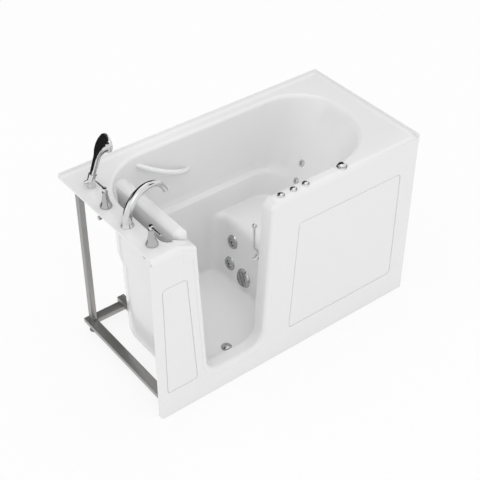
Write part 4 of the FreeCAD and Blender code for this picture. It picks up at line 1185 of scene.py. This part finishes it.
@dataclass
class Studio:
    """The floor, the soft lamps, the dark cards that metal mirrors, and the camera."""

    floor_span: float = 14.0
    floor_colour: Colour = (0.97, 0.97, 0.97)
    floor_roughness: float = 0.9
    shadow_share: float = 0.15
    world_level: float = 0.87
    azimuth: float = -37.899
    elevation: float = 38.984
    roll: float = 0.005
    distance: float = 5.32378
    target: Place = (0.015593, 0.034512, 0.441934)
    focal_pixels: float = 1078.649
    image_pixels: float = 480.0
    middle_pixel: Pair = (241.387, 236.043)
    sensor: float = 36.0
    clip: Pair = (0.1, 60.0)
    lamps: Tuple[Lamp, ...] = (
        Lamp("key", (-1.6, -3.6, 4.4), (3.6, 3.6), 20.0),
        Lamp("side", (-4.4, 0.6, 3.0), (3.0, 3.0), 5.0),
        Lamp("top", (0.6, 1.2, 5.0), (4.0, 4.0), 14.0),
        Lamp("well", (0.0, 0.0, 2.6), (0.95, 0.42), 0.1, 14.0),
    )
    card_colour: Colour = (0.01, 0.01, 0.01)
    cards: Tuple[Card, ...] = (
        Card("back_card", (1.0, 3.3, 2.4), (5.6, 3.4)),
        Card("corner_card", (-2.1, 2.6, 1.2), (3.0, 2.2)),
        Card("ceiling_card", (-1.1, 2.0, 3.7), (4.8, 2.6)),
        Card("right_card", (3.2, -2.4, 2.2), (1.0, 2.4)),
    )

    def build(self) -> None:
        """Set up the whole studio."""
        bpy.context.scene.view_settings.view_transform = "Standard"
        self._floor()
        self._world()
        for lamp in self.lamps:
            self._lamp(lamp)
        for card in self.cards:
            self._card(card)
        self._camera()

    def _plane(self, name: str, sides: Pair) -> Object:
        """Add a flat sheet that faces +Z.

        Args:
            name: Its name.
            sides: Its two sides.

        Returns:
            The sheet.
        """
        x, y = sides[0] / 2, sides[1] / 2
        mesh = bpy.data.meshes.new(name)
        mesh.from_pydata([(-x, -y, 0), (x, -y, 0), (x, y, 0), (-x, y, 0)], [], [(0, 1, 2, 3)])
        obj = new_object(name, mesh)
        return obj

    def _whiten(self, tree: NodeTree, shaders: Tuple[Node, Node], share: float, *rays: str) -> None:
        """Show a white shader to some kinds of rays, and the plain one to all others.

        Args:
            tree: The material's or the world's node tree.
            shaders: The plain shader and the white one.
            share: The white shader's share.
            rays: The kinds of rays that see it.
        """
        path = tree.nodes.new("ShaderNodeLightPath")
        found, out = path, rays[0]
        for ray in rays[1:]:
            either = tree.nodes.new("ShaderNodeMath")
            either.operation = "MAXIMUM"
            wire(tree, (found, out, either, 0), (path, ray, either, 1))
            found, out = either, 0
        scale = tree.nodes.new("ShaderNodeMath")
        scale.operation = "MULTIPLY"
        fill(scale, {1: share})
        mix = tree.nodes.new("ShaderNodeMixShader")
        end = next(node for node in tree.nodes if node.bl_idname.startswith("ShaderNodeOutput"))
        wire(tree, (found, out, scale, 0), (scale, 0, mix, 0), (shaders[0], 0, mix, 1),
             (shaders[1], 0, mix, 2), (mix, 0, end, "Surface"))

    def _floor(self) -> None:
        """Lay the pale floor, which is white to the eye and keeps the shadow."""
        obj = self._plane("floor", (self.floor_span, self.floor_span))
        paint = bpy.data.materials.new("floor_paint")
        paint.use_nodes = True
        tree = paint.node_tree
        matte = tree.nodes["Principled BSDF"]
        white = tree.nodes.new("ShaderNodeEmission")
        fill(matte, {"Base Color": (*self.floor_colour, 1.0), "Roughness": self.floor_roughness})
        fill(white, {"Strength": 1.0})
        self._whiten(tree, (matte, white), 1.0 - self.shadow_share, "Is Camera Ray",
                     "Is Glossy Ray")
        obj.data.materials.append(paint)

    def _world(self) -> None:
        """Set an even pale surround, white to the eye and in mirrors."""
        world = bpy.data.worlds.new("surround")
        world.use_nodes = True
        tree = world.node_tree
        plain = tree.nodes["Background"]
        white = tree.nodes.new("ShaderNodeBackground")
        fill(plain, {"Color": WHITE, "Strength": self.world_level})
        fill(white, {"Color": WHITE, "Strength": 1.0})
        self._whiten(tree, (plain, white), 1.0, "Is Camera Ray", "Is Glossy Ray",
                     "Is Transmission Ray")
        bpy.context.scene.world = world

    def _aim(self, obj: Object, place: Vector) -> None:
        """Turn an object's -Z towards the tub from a place.

        Args:
            obj: The lamp or card.
            place: Where it stands.
        """
        obj.location = place
        obj.rotation_euler = (Vector(self.target) - place).to_track_quat("-Z", "Y").to_euler()

    def _lamp(self, lamp: Lamp) -> None:
        """Add one soft lamp.

        Args:
            lamp: Its place, size and strength.
        """
        data = bpy.data.lights.new(lamp.name, "AREA")
        data.shape = "RECTANGLE"
        data.size, data.size_y = lamp.sides
        data.energy = lamp.power
        data.spread = math.radians(lamp.spread)
        obj = bpy.data.objects.new(lamp.name, data)
        bpy.context.scene.collection.objects.link(obj)
        self._aim(obj, Vector(lamp.place))

    def _card(self, card: Card) -> None:
        """Hang a dark card that only mirrors see.

        Args:
            card: Its place and sides.
        """
        obj = self._plane(card.name, card.sides)
        self._aim(obj, Vector(card.place))
        obj.visible_camera = obj.visible_diffuse = False
        obj.visible_shadow = obj.visible_transmission = False
        dark = bpy.data.materials.get("card_black") or bpy.data.materials.new("card_black")
        dark.use_nodes = True
        fill(dark.node_tree.nodes["Principled BSDF"],
             {"Base Color": (*self.card_colour, 1.0), "Roughness": 1.0})
        obj.data.materials.append(dark)

    def _camera(self) -> None:
        """Stand the camera where the picture was taken from."""
        a, e = math.radians(self.azimuth), math.radians(self.elevation)
        back = Vector((math.sin(a) * math.cos(e), -math.cos(a) * math.cos(e), math.sin(e)))
        across = Vector((0.0, 0.0, 1.0)).cross(back).normalized()
        up = back.cross(across)
        c, s = math.cos(self.roll), math.sin(self.roll)
        turned = Matrix((c * across + s * up, c * up - s * across, back)).transposed()
        data = bpy.data.cameras.new("viewer")
        data.sensor_fit = "HORIZONTAL"
        data.sensor_width = self.sensor
        data.lens = self.focal_pixels / self.image_pixels * data.sensor_width
        data.shift_x = (self.image_pixels / 2 - self.middle_pixel[0]) / self.image_pixels
        data.shift_y = (self.middle_pixel[1] - self.image_pixels / 2) / self.image_pixels
        data.clip_start, data.clip_end = self.clip
        obj = bpy.data.objects.new("viewer", data)
        place = Vector(self.target) + back * self.distance
        obj.matrix_world = Matrix.Translation(place) @ turned.to_4x4()
        bpy.context.scene.collection.objects.link(obj)
        bpy.context.scene.camera = obj


def main() -> None:
    """Build and dress every group in order, then the studio."""
    logging.basicConfig(level=logging.INFO, format="%(name)s: %(message)s")
    groups: List[SubAssembly] = [TubMoulding(), Door(), BaseFrame(), TapSet(), JetSystem()]
    for group in groups:
        LOG.info("group %s", type(group).__name__)
        group.build()
        group.dress()
    Studio().build()


if __name__ == "__main__":
    main()
